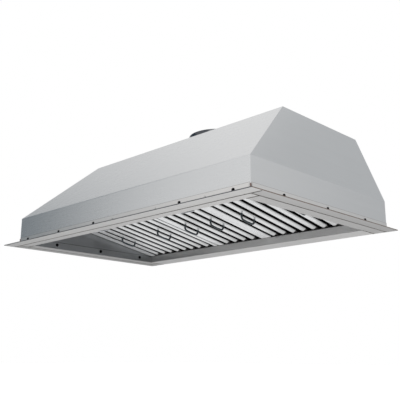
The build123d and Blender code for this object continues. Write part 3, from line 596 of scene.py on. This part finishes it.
def bar_between(first, second, width, height, up):
    """Mesh of a strip that runs from one point to another and stands up by its height."""
    first, second = Vector(first), Vector(second)
    along = (second - first).normalized()
    up = Vector(up).normalized()
    turn = Matrix((along, up.cross(along), up)).transposed().to_4x4()
    mesh = bar((second - first).length, width, height)
    mesh.transform(Matrix.Translation((first + second) / 2) @ turn)
    return mesh


def ring_parts(made):
    """The points and the edges among what an operator made."""
    verts = [part for part in made if isinstance(part, bmesh.types.BMVert)]
    edges = [part for part in made if isinstance(part, bmesh.types.BMEdge)]
    return verts, edges


def rod_run(start, heading, axis, moves, radius, sides=16):
    """Mesh of a round rod that goes ahead by a length, or turns by (degrees, bend radius)."""
    mesh = bmesh.new()
    middle, heading, axis = Vector(start), Vector(heading), Vector(axis)
    turn = heading.to_track_quat("Z", "X").to_matrix().to_4x4()
    place = Matrix.Translation(middle) @ turn
    ring = bmesh.ops.create_circle(mesh, radius=radius, segments=sides, matrix=place)["verts"]
    edges = mesh.edges[:]
    for move in moves:
        if isinstance(move, tuple):
            angle, bend = radians(move[0]), move[1]
            centre = middle + axis.cross(heading) * bend
            steps = max(3, round(move[0] / DEGREES_PER_STEP))
            turn = {"cent": centre, "axis": axis, "angle": angle, "steps": steps}
            made = bmesh.ops.spin(mesh, geom=ring + edges, **turn)["geom_last"]
            turned = Matrix.Rotation(angle, 3, axis)
            middle = centre + turned @ (middle - centre)
            heading = turned @ heading
            ring, edges = ring_parts(made)
        else:
            made = bmesh.ops.extrude_edge_only(mesh, edges=edges)["geom"]
            ring, edges = ring_parts(made)
            edges = [edge for edge in edges if all(vert in ring for vert in edge.verts)]
            bmesh.ops.translate(mesh, verts=ring, vec=heading * move)
            middle = middle + heading * move
    bmesh.ops.holes_fill(mesh, edges=mesh.edges[:], sides=sides)
    return mesh


def at(x, y, z, turn=None):
    """Place with its own turn."""
    return Matrix.Translation((x, y, z)) @ (turn or Matrix())


def facing(direction):
    """Turn that points Z along a direction."""
    return Vector(direction).to_track_quat("Z", "Y").to_matrix().to_4x4()


def row(centre, pitch, count):
    """Places one pitch apart about a centre."""
    return [centre + pitch * (index - (count - 1) / 2) for index in range(count)]


def part_way(first, second, share):
    """The point that is a share of the way from one point to another."""
    return tuple(start + (end - start) * share for start, end in zip(first, second))


upside_down = Matrix.Rotation(pi, 4, "X")
FILTER = at(0, open_back, SEAT_LEVEL, Matrix.Rotation(-radians(FILTER_TILT), 4, "X"))
panel_tilt = atan(PANEL_RISE / PANEL_DEPTH)
panel_turn = Matrix.Rotation(pi + panel_tilt, 4, "X")
PANEL = at(0, open_front - SHEET, SEAT_LEVEL, panel_turn)
lamp_along = LAMP_FROM_LIP / cos(panel_tilt)

# ---------------------------------------------------------------- screws
# Shape of a pan head, in shares of its radius and of its height
HEAD_PROFILE = [(1, 0), (1, 0.34), (0.94, 0.58), (0.80, 0.82), (0.62, 0.95), (0.50, 1)]
CROSS_ARM = 0.46 * 0.8
CROSS_HALF = 0.13
CROSS_DEPTH = 1.2
CROSS_TAPER = 0.7
COLLAR_SCREW_TURN = 0.4


def pan_head(head):
    """Pan head with a crossed recess, standing on z = 0."""
    profile = [(out * head, up * SCREW_HEAD_HEIGHT) for out, up in HEAD_PROFILE]
    mesh = lathe([(0, 0)] + profile, 24)
    rim = [edge for edge in mesh.edges if edge.is_boundary]
    arm, half = CROSS_ARM * head, CROSS_HALF * head
    corners = []
    for step in range(4):
        turn = Matrix.Rotation(step * pi / 2, 3, "Z")
        for x, y in ((arm, -half), (arm, half), (half, half)):
            corners.append(mesh.verts.new(turn @ Vector((x, y, SCREW_HEAD_HEIGHT))))
    following = corners[1:] + corners[:1]
    cross = [mesh.edges.new(pair) for pair in zip(corners, following)]
    bmesh.ops.bridge_loops(mesh, edges=rim + cross)
    made = bmesh.ops.extrude_edge_only(mesh, edges=cross)["geom"]
    floor, _ = ring_parts(made)
    bmesh.ops.translate(mesh, verts=floor, vec=(0, 0, -CROSS_DEPTH))
    bmesh.ops.scale(mesh, verts=floor, vec=(CROSS_TAPER, CROSS_TAPER, 1))
    bmesh.ops.holes_fill(mesh, edges=mesh.edges[:], sides=len(corners))
    return mesh


def screw_group(name, head, places, node):
    """Screws at their places, in black oxide, in place of the plain CAD ones."""
    repeated_piece(name, pan_head(head), places, oxide, [node])


def side_rows(x, centre, pitch, height, way):
    """Places in a row on both sides, that face away from the middle (1) or towards it (-1)."""
    return [
        at(side * x, y, height, facing((side * way, 0, 0)))
        for side in (-1, 1)
        for y in row(centre, pitch, SIDE_SCREWS)
    ]


front_row = row(0, FRONT_SCREW_PITCH, FRONT_SCREWS)
front_row.pop(FRONT_BARE_PLACE)
skirt_front = wall_front - TRIM_SHEET
places = [at(x, skirt_front, SCREW_HEIGHT, facing((0, -1, 0))) for x in front_row]
screw_group("front_screw_heads", SCREW_HEAD, places, "front_trim_screws")
places = side_rows(wall_x + TRIM_SHEET, SIDE_SCREW_CENTRE, SIDE_SCREW_PITCH, SCREW_HEIGHT, 1)
screw_group("side_screw_heads", SCREW_HEAD, places, "side_trim_screws")
places = side_rows(open_x, LINER_SCREW_CENTRE, LINER_SCREW_PITCH, LINER_SCREW_HEIGHT, -1)
screw_group("liner_screw_heads", LINER_SCREW_HEAD, places, "liner_screws")

ring = COLLAR_RADIUS + COLLAR_FLANGE / 2
places = []
for side in (-1, 1):
    for end in (-1, 1):
        x = side * ring * cos(radians(COLLAR_SCREW_ANGLE))
        y = collar_y + end * ring * sin(radians(COLLAR_SCREW_ANGLE))
        turn = Matrix.Rotation(side * end * COLLAR_SCREW_TURN, 4, "Z")
        places.append(at(x, y, roof_top + COLLAR_FOOT, turn))
        places.append(at(side * MOUNT_SCREW, collar_y + end * MOUNT_SCREW, roof_top))
screw_group("roof_screw_heads", SCREW_HEAD, places, "roof_screws")

# ---------------------------------------------------------------- filters
WELD_BEAD = [(0.5, 0.8)]
WELD_BEAD += corners_from(HANDLE_ROD / 2, 0, [(0.1, 0.9), (0.5, 0.35), (1.1, 0.0)])
WELD_BEAD += [(0.5, -0.1)]
MITRE_WIDTH = 0.5
MITRE_RISE = 0.12
MITRE_START, MITRE_END = 0.04, 0.96
# The grip bows out in the middle, at twice the bend radius of its corners
half_span = HANDLE_SPAN / 2
dip = atan(HANDLE_BOW / half_span)
corner_turn = 90 - dip * 180 / pi
corner_angle = radians(corner_turn)
corner_tangent = HANDLE_CORNER * sin(corner_angle) / (1 + cos(corner_angle))
bow_tangent = 2 * HANDLE_CORNER * sin(2 * dip) / (1 + cos(2 * dip))
leg = HANDLE_DROP - HANDLE_BOW - corner_tangent
grip = hypot(half_span, HANDLE_BOW) - corner_tangent - bow_tangent
handle_moves = [leg, (corner_turn, HANDLE_CORNER), grip, (2 * dip * 180 / pi, 2 * HANDLE_CORNER)]
handle_moves += [grip, (corner_turn, HANDLE_CORNER), leg]
handle_rod = rod_run((0, -half_span, 0), DOWN, (1, 0, 0), handle_moves, HANDLE_ROD / 2)
bead = lathe(WELD_BEAD, 20, closed=True)
frame_rear = (FILTER_SEAT, FILTER_SEAT - END_BORDER)
frame_front = (FILTER_SEAT - FILTER_LENGTH, FILTER_SEAT - FILTER_LENGTH + END_BORDER)

for side, (middle, width, baffles, outside) in FILTERS.items():
    body = f"{side}_filter"
    handle_reach = BAFFLE_PITCH * ((baffles + 1) / 2 - 1 - outside)
    handles = [middle + end * handle_reach + FOOT_SHIFT for end in (-1, 1)]
    rods = bmesh.new()
    add_copies(rods, handle_rod, [FILTER @ at(x, -HANDLE_FROM_SEAT, FRAME_HEM) for x in handles])
    new_piece(f"{side}_handle_rods", rods, handle_steel, body, [f"{side}_filter_handles"])
    feet = [(x, -HANDLE_FROM_SEAT + end) for x in handles for end in (-half_span, half_span)]
    beads = bmesh.new()
    add_copies(beads, bead, [FILTER @ at(x, y, FRAME_HEM, upside_down) for x, y in feet])
    new_piece(f"{side}_handle_welds", beads, handle_steel, body)
    mitres = bmesh.new()
    for outer, inner in (
        (middle - width / 2, middle - width / 2 + WIDE_BORDER),
        (middle + width / 2, middle + width / 2 - NARROW_BORDER),
    ):
        for outer_end, inner_end in (frame_rear, frame_front):
            corner, mouth = (outer, outer_end, 0), (inner, inner_end, 0)
            start, tip = (part_way(corner, mouth, share) for share in (MITRE_START, MITRE_END))
            move_into(mitres, bar_between(start, tip, MITRE_WIDTH, MITRE_RISE, DOWN), FILTER)
    new_piece(f"{side}_frame_mitres", mitres, seam_filler, body)
handle_rod.free()
bead.free()

# ---------------------------------------------------------------- flange and recess
SEAM_WIDTH = 2.4
SEAM_RISE = 0.7
SEAM_SET = 3.0
# Painted shade strips on the flange's cut edges: width and height
SHADE_STRIP_WIDTH = 1.0
SHADE_STRIP_RISE = 2.6 - TRIM_SHEET
WELD_SET = 0.2
WELD_RADIUS = 1.7
WELD_STEP = 4.0
WELD_STEPS = 6
GAP_SET = 0.2
GAP_WIDTH = 1.2
GAP_RISE = 0.5
JOINT_X = 249.0
JOINT_WIDTH = 1.0
JOINT_RISE = 0.25
END_CLEARANCE = 1


def seam(mesh, first, second, up, width=SEAM_WIDTH, rise=SEAM_RISE):
    """Adds a thin strip from one point to another."""
    move_into(mesh, bar_between(first, second, width, rise, up))


seams = bmesh.new()
front_end = half_width - SEAM_SET
rear_end = wall_back - SEAM_SET
seam(seams, (-front_end, wall_front, 0), (front_end, wall_front, 0), DOWN)
for side in (-1, 1):
    outer, inner = side * wall_x, side * open_x
    seam(seams, (outer, wall_front, 0), (outer, rear_end, 0), DOWN)
    seam(seams, (inner, open_front, 0), (outer, open_front, 0), DOWN)
    seam(seams, (inner, open_back, 0), (inner, rear_end, 0), DOWN)
new_piece("flange_seams", seams, seam_filler)

# Painted shade: dark strips stand on the flange's cut edges, slate at the front and brown at the
# sides
front_shade_strip = bmesh.new()
y = -half_depth + SHADE_STRIP_WIDTH / 2
corners = [(side * half_width, y, TRIM_SHEET) for side in (-1, 1)]
seam(front_shade_strip, *corners, UP, SHADE_STRIP_WIDTH, SHADE_STRIP_RISE)
new_piece("front_edge_shade_strip", front_shade_strip, slate_edge_shade)

side_shade_strips = bmesh.new()
for side in (-1, 1):
    x = side * (half_width - SHADE_STRIP_WIDTH / 2)
    corners = [(x, end * half_depth, TRIM_SHEET) for end in (-1, 1)]
    seam(side_shade_strips, *corners, UP, SHADE_STRIP_WIDTH, SHADE_STRIP_RISE)
new_piece("side_edge_shade_strips", side_shade_strips, brown_edge_shade)

welds = bmesh.new()
for side in (-1, 1):
    foot = (side * (wall_x + WELD_SET), wall_front - WELD_SET, TRIM_SHEET)
    move_into(welds, rod_run(foot, UP, (1, 0, 0), [WELD_STEP] * WELD_STEPS, WELD_RADIUS, 12))
new_piece("corner_welds", welds, weld_tint)

gaps = bmesh.new()
for side in (-1, 1):
    x = side * (open_x + GAP_SET)
    front, rear = open_front + END_CLEARANCE, open_back - END_CLEARANCE
    corners = [(x, y, RECESS_DEPTH) for y in (front, rear)]
    seam(gaps, *corners, (-side, 0, 0), GAP_WIDTH, GAP_RISE)
new_piece("recess_gaps", gaps, ink)

joint = bmesh.new()
corners = [(JOINT_X, open_back, z) for z in (END_CLEARANCE, RECESS_DEPTH - END_CLEARANCE)]
seam(joint, *corners, (0, -1, 0), JOINT_WIDTH, JOINT_RISE)
new_piece("back_wall_joint", joint, bright_ring)

# ---------------------------------------------------------------- lamps
SKIN = 0.05
LENS_SINK = 3.0
LENS_THICKNESS = 2.9
LENS_RIBS = 13
LENS_RIB_PITCH = 2.2
LENS_RIB_FLANK = 0.5
LENS_RIB_DEPTH = 0.25
LENS_FALL = 0.02
RING_SET = 0.6
LAMP_SIDES = 72

lamp_places = [PANEL @ at(x, -lamp_along, 0) for x in row(0, LAMP_SPACING, 2)]
lamp_mouth = LAMP_CAN_RADIUS - SHEET
rim = corners_from(LAMP_WINDOW, LAMP_HEIGHT, [(0, -LENS_SINK), (0, -1.2), (0.6, -0.8)])
rim += corners_from(LAMP_RADIUS, LAMP_HEIGHT, [(-4.0, -0.8), (-0.8, -1.2), (0, -1.7)])
rim += [(LAMP_RADIUS, SKIN), (lamp_mouth, SKIN), (lamp_mouth, LAMP_HEIGHT - LENS_SINK)]
lamp_ring = corners_from(LAMP_RADIUS - RING_SET, LAMP_HEIGHT, [
    (-4.2, -1.8), (-4.2, -0.6), (-3.4, -0.1), (-2.0, 0), (-0.8, -0.2), (0, -0.9), (0, -1.8),
])
lens_top = LAMP_HEIGHT - LENS_SINK
lens = [(0.0, lens_top - LENS_THICKNESS), (0.0, lens_top)]
for index in range(1, LENS_RIBS + 1):
    reached = index * LENS_RIB_PITCH
    lens += [(reached - LENS_RIB_FLANK, lens_top - LENS_FALL * index)]
    lens += [(reached, lens_top - LENS_RIB_DEPTH)]
lens += corners_from(lamp_mouth - 0.4, lens_top, [(0, -0.3), (0, -LENS_THICKNESS)])
for name, profile, material, shown in (
    ("lamp_rims", rim, lamp_rim, ["lamp_bezels"]),
    ("lamp_rings", lamp_ring, bright_ring, ()),
    ("lamp_fresnel_lenses", lens, lens_frost, ["lamp_lenses"]),
):
    turned = lathe(profile, LAMP_SIDES, closed=True)
    repeated_piece(name, turned, lamp_places, material, shown)

# ---------------------------------------------------------------- marks on the buttons
MARK_RISE = 0.15
MARK_WIDTH = 0.9


def mark_arc(radius, start, sweep):
    """Mesh of a flat arc of ink, standing on z = 0."""
    mesh = bmesh.new()
    low, high = radius - MARK_WIDTH / 2, radius + MARK_WIDTH / 2
    corners = [(low, 0, 0), (high, 0, 0), (high, 0, MARK_RISE), (low, 0, MARK_RISE)]
    section = mesh.faces.new([mesh.verts.new(corner) for corner in corners])
    turn = {"axis": UP, "angle": radians(sweep), "steps": 20, "cent": (0, 0, 0)}
    bmesh.ops.spin(mesh, geom=[section], **turn)
    start_turn = Matrix.Rotation(radians(start), 3, "Z")
    bmesh.ops.rotate(mesh, verts=mesh.verts, cent=(0, 0, 0), matrix=start_turn)
    return mesh


def mark_bars(bars):
    """Mesh of short bars, each (x, y, length, degrees)."""
    mesh = bmesh.new()
    for x, y, length, degrees_turned in bars:
        turn = Matrix.Rotation(radians(degrees_turned), 4, "Z")
        move_into(mesh, bar(length, MARK_WIDTH, MARK_RISE), at(x, y, 0, turn))
    return mesh


marks = {
    "power": [mark_arc(2.4, 120, 300), mark_bars([(0, 2.0, 2.6, 90)])],
    "slower": [mark_bars([(0, 0, 4.6, 0)])],
    "faster": [mark_bars([(0, 0, 4.6, 0), (0, 1.4, 1.6, 90), (0, -1.4, 1.6, 90)])],
    "light": [mark_arc(1.8, -50, 280), mark_bars([(0, -2.2, 1.8, 0), (0, -3.4, 1.2, 0)])],
}
turned_up = Matrix.Rotation(pi, 4, "Z")
for x, name in zip(row(0, BUTTON_SPACING, len(buttons)), buttons):
    mark = bmesh.new()
    for source in marks[name]:
        move_into(mark, source, PANEL @ at(x, -lamp_along, BUTTON_TOP, turned_up))
    new_piece(f"{name}_mark", mark, ink, f"{name}_button")

# ---------------------------------------------------------------- duct collar
COLLAR_STEP = 1.6
LAP_WIDTH = 6.0
LAP_RISE = 0.5
RIVET = [(0, 0), (2.4, 0), (2.2, 0.7), (1.3, 1.2), (0, 1.35)]
RIVET_SET = 0.4
RIVET_HEIGHTS = (12, 32, 52)

bore = COLLAR_RADIUS - COLLAR_WALL
wide = COLLAR_RADIUS + COLLAR_FLANGE
step = COLLAR_RADIUS + COLLAR_STEP
profile = [(bore, SKIN), (wide - 0.4, SKIN), (wide, 0.4)]
profile += corners_from(wide, COLLAR_FOOT, [(0, -0.4), (-0.4, 0)])
profile += corners_from(step, COLLAR_FOOT, [(1.2, 0), (0.3, 0.4), (0, 1.4)])
profile += [(step, COLLAR_STEP_LEVEL - 0.8)]
profile += corners_from(COLLAR_RADIUS, COLLAR_STEP_LEVEL, [(0.6, 0.6), (0, 1.6)])
profile += corners_from(COLLAR_RADIUS, COLLAR_HEIGHT, [(0, -0.6), (-0.5, 0)])
profile += corners_from(bore, COLLAR_HEIGHT, [(0.3, 0), (0, -0.4)])
profile += corners_from(bore, STOP_HIGH, [(0, 0), (-STOP_WIDTH, 0)])
profile += corners_from(bore, STOP_LOW, [(-STOP_WIDTH, 0), (0, 0)])
shell = lathe(profile, 120, closed=True)
place = at(0, collar_y, roof_top)
repeated_piece("collar_shell", shell, [place], collar_paint, ["duct_collar"])

collar_back = collar_y + COLLAR_RADIUS
lap = bmesh.new()
corners = [(0, collar_back, roof_top + z) for z in (3, COLLAR_HEIGHT - 1)]
seam(lap, *corners, (0, 1, 0), LAP_WIDTH, LAP_RISE)
new_piece("collar_lap", lap, collar_paint)
backwards = facing((0, 1, 0))
places = [at(0, collar_back + RIVET_SET, roof_top + z, backwards) for z in RIVET_HEIGHTS]
repeated_piece("collar_rivets", lathe(RIVET, 16), places, bright_ring)

# ---------------------------------------------------------------- wiring
GLAND_RIBS = 18
GLAND_RIB_LEAN = -16
GLAND_RIB_SET = 0.6
KNOCKOUT = [(12.0, 0.02), (12.0, 0.25), (12.9, 0.45), (13.8, 0.25), (13.8, 0.02)]
KNOCKOUT_SHIFTS = (-40, 36)

gland_edge = GLAND_RADIUS + GLAND_FLANGE
gland = [(GLAND_BORE, -GLAND_TAIL), (GLAND_RADIUS, -GLAND_TAIL)]
gland += [(GLAND_RADIUS, SKIN), (gland_edge, SKIN)]
gland += corners_from(gland_edge, GLAND_FLANGE, [(0, -0.5), (-0.5, 0)])
gland += corners_from(GLAND_RADIUS, GLAND_FLANGE, [(0, 0), (-1.0, 4)])
gland += corners_from(GLAND_BORE, GLAND_HEIGHT, [(3.8, -1.2), (3.0, -0.2), (0.5, 0), (0, -0.5)])
gland_body = bmesh.new()
move_into(gland_body, lathe(gland, 48, closed=True), at(box_x, box_y, roof_top))
rib = bar(0.9, 1.4, 7.0)
lean = Matrix.Rotation(radians(GLAND_RIB_LEAN), 4, "Y")
for index in range(GLAND_RIBS):
    turn = Matrix.Rotation(index * 2 * pi / GLAND_RIBS, 4, "Z")
    foot = at(box_x, box_y, roof_top + GLAND_FLANGE) @ turn
    add_copies(gland_body, rib, [foot @ at(GLAND_RADIUS - GLAND_RIB_SET, 0, 0, lean)])
rib.free()
new_piece("gland_body", gland_body, nylon, "canopy", ["cable_gland"])

places = [at(box_x + shift, box_y, roof_top) for shift in KNOCKOUT_SHIFTS]
repeated_piece("roof_knockouts", lathe(KNOCKOUT, 40, closed=True), places, zinc)

screw_x, screw_y = box_half_x - COVER_SCREW_INSET, box_half_y - COVER_SCREW_INSET
places = [
    at(box_x + side * screw_x, box_y + end * screw_y, box_floor, upside_down)
    for side in (-1, 1)
    for end in (-1, 1)
]
repeated_piece("cover_screw_heads", pan_head(COVER_SCREW_HEAD), places, bright_ring)

# ---------------------------------------------------------------- spot welds of the back panel
SPOT_WELD = [(0, 0.0), (3.0, 0.0), (2.6, 0.22), (1.8, 0.12), (0, 0.08)]
SPOT_WELDS = 7
SPOT_PITCH = 150
SPOT_LEVELS = (12, 92)
TOP_SPOT_DROP = 14
TOP_SPOT_SHARE = 0.8

places = []
for x in row(0, SPOT_PITCH, SPOT_WELDS):
    places += [at(x, wall_back, level, backwards) for level in SPOT_LEVELS]
    places.append(at(x * TOP_SPOT_SHARE, wall_back, roof_top - TOP_SPOT_DROP, backwards))
repeated_piece("back_spot_welds", lathe(SPOT_WELD, 16), places, back_sheet)


# ---------------------------------------------------------------- studio, in metres
FLOOR_LEVEL = -0.80
FLOOR_REACH = 30.0
FLOOR_TONE = 0.86
FLOOR_GLOW = 0.32
POOL_EDGE = 2.0
POOL_END = 4.8
POOL_SHADE = 0.85
WALL_RADIUS = 6.0
WALL_LOW = -0.75
WALL_HIGH = 7.0
WALL_FADE = 2
WALL_SIDES = 96
SKY_LEVEL = 0.85
WHITE = (1, 1, 1, 1)
# Darkness of the flags round the studio, from -180 to 180 degrees about Z
FLAGS = [(-180, 0.90), (-152, 1.0), (-147, 0.78), (-141, 0.32), (-134, 0.06), (-126, 0.0)]
FLAGS += [(20, 0.0), (45, 0.15), (52, 0.25), (59, 0.42), (73, 0.46), (100, 0.16), (120, 0.0)]
FLAGS += [(142, 0.0), (163, 0.30), (180, 0.80)]
LOW_FLAGS = [(-180, 0.80), (-150, 0.80), (-130, 0.0), (100, 0.0), (130, 0.5), (150, 0.8)]
LOW_FLAGS += [(180, 0.80)]
LOW_FLAG_TOP, LOW_FLAG_FULL = 1.6, -0.2
FLAG_COLOUR = (0.07, 0.11, 0.14, 1)
# Key light
KEY_PLACE = (1.6, -3.2, 2.6)
KEY_TARGET = (0, 0, 0.2)
KEY_SIZE = (2.0, 1.4)
KEY_POWER = 30
# Camera, with its turns in degrees and its lens in millimetres
CAMERA_PLACE = (1.4893, -1.4444, -0.3883)
CAMERA_TURN = (104.167, -0.311, 44.588)
CAMERA_LENS = 56.03
CAMERA_SENSOR = 36.0


def stage_piece(name, mesh, material):
    """A piece of the studio, which isn't part of the hood."""
    piece = bpy.data.objects.new(name, bpy.data.meshes.new(name))
    mesh.to_mesh(piece.data)
    mesh.free()
    piece.data.materials.append(material)
    bpy.context.scene.collection.objects.link(piece)
    return piece


def pale_floor():
    """White floor that keeps the shadow, dims far off in gloss and is clear from under it."""
    finish = Finish("pale_floor", Roughness=0.9, Specular_IOR_Level=0.2)
    finish.surface.inputs["Base Color"].default_value = grey(FLOOR_TONE)
    lit = Value(finish, finish.surface.outputs[0])
    gloss = finish.ray("Glossy")
    seen = finish.ray("Camera").larger(gloss).larger(finish.ray("Transmission"))
    glow = finish.node("Emission", None, {"Color": WHITE, "Strength": FLOOR_GLOW * seen})
    shown = finish.node("AddShader", None, {0: lit, 1: glow})
    dark = finish.node("Emission", None, {"Color": (0, 0, 0, 1), "Strength": 0.0})
    distance = finish.node("VectorMath", {"operation": "LENGTH"}, {0: finish.place}, "Value")
    dimmed = POOL_SHADE * distance.within(POOL_EDGE, POOL_END) * gloss
    top_side = finish.node("MixShader", None, {0: dimmed, 1: shown, 2: dark})
    underside = finish.node("NewGeometry", output="Backfacing") * finish.ray("Camera")
    clear = finish.node("BsdfTransparent")
    whole = finish.node("MixShader", None, {0: underside, 1: top_side, 2: clear})
    finish.show("Material Output", whole)
    return finish.material


def flag_wall():
    """Round wall that only gloss sees: clear, with soft dark flags."""
    finish = Finish("studio_flags")
    turn = finish.node("TexGradient", {"gradient_type": "RADIAL"}, {"Vector": finish.place}, "Fac")
    height = finish.axes(finish.place)[Z]
    bands = (
        (FLAGS, WALL_HIGH, WALL_HIGH - WALL_FADE),
        (LOW_FLAGS, LOW_FLAG_TOP, LOW_FLAG_FULL),
    )
    shades = []
    for flags, top, full in bands:
        stops = [(degrees_round / 360 + 0.5, level) for degrees_round, level in flags]
        darkness = finish.node("ValToRGB", {"stops": stops}, {"Fac": turn})
        shades.append(darkness * height.within(top, full))
    shade = shades[0].larger(shades[1]) * finish.ray("Glossy")
    clear = finish.node("BsdfTransparent")
    dark = finish.node("Emission", None, {"Color": FLAG_COLOUR, "Strength": 1.0})
    finish.show("Material Output", finish.node("MixShader", None, {0: shade, 1: clear, 2: dark}))
    return finish.material


floor_mesh = bmesh.new()
floor_place = Matrix.Translation((0, 0, FLOOR_LEVEL))
grid = {"x_segments": 1, "y_segments": 1, "size": FLOOR_REACH, "matrix": floor_place}
bmesh.ops.create_grid(floor_mesh, **grid)
stage_piece("floor", floor_mesh, pale_floor())

wall_mesh = bmesh.new()
wall_place = Matrix.Translation((0, 0, (WALL_LOW + WALL_HIGH) / 2))
wall_size = {"radius1": WALL_RADIUS, "radius2": WALL_RADIUS, "depth": WALL_HIGH - WALL_LOW}
wall_shape = {"cap_ends": False, "segments": WALL_SIDES, "matrix": wall_place, **wall_size}
bmesh.ops.create_cone(wall_mesh, **wall_shape)
wall = stage_piece("studio_flags", wall_mesh, flag_wall())
wall.visible_camera = False
wall.visible_diffuse = False
wall.visible_shadow = False
wall.visible_transmission = False

world = bpy.data.worlds.new("studio")
bpy.context.scene.world = world
world.use_nodes = True
sky = Shader(world.node_tree)
seen = sky.ray("Camera").larger(sky.ray("Glossy")).larger(sky.ray("Transmission"))
white = sky.node("Background", None, {"Color": WHITE, "Strength": 1.0})
soft = sky.node("Background", None, {"Color": WHITE, "Strength": SKY_LEVEL})
sky.show("World Output", sky.node("MixShader", None, {0: seen, 1: soft, 2: white}))

key = bpy.data.lights.new("key_light", "AREA")
key.shape = "RECTANGLE"
key.size, key.size_y = KEY_SIZE
key.energy = KEY_POWER
key_light = bpy.data.objects.new("key_light", key)
key_light.location = KEY_PLACE
aim = Vector(KEY_TARGET) - Vector(KEY_PLACE)
key_light.rotation_euler = aim.to_track_quat("-Z", "Y").to_euler()
bpy.context.scene.collection.objects.link(key_light)

# ---------------------------------------------------------------- camera
camera_data = bpy.data.cameras.new("camera")
camera_data.sensor_width = CAMERA_SENSOR
camera_data.lens = CAMERA_LENS
camera = bpy.data.objects.new("camera", camera_data)
camera.location = CAMERA_PLACE
camera.rotation_euler = [radians(angle) for angle in CAMERA_TURN]
bpy.context.scene.collection.objects.link(camera)
bpy.context.scene.camera = camera
bpy.context.scene.view_settings.view_transform = "Standard"
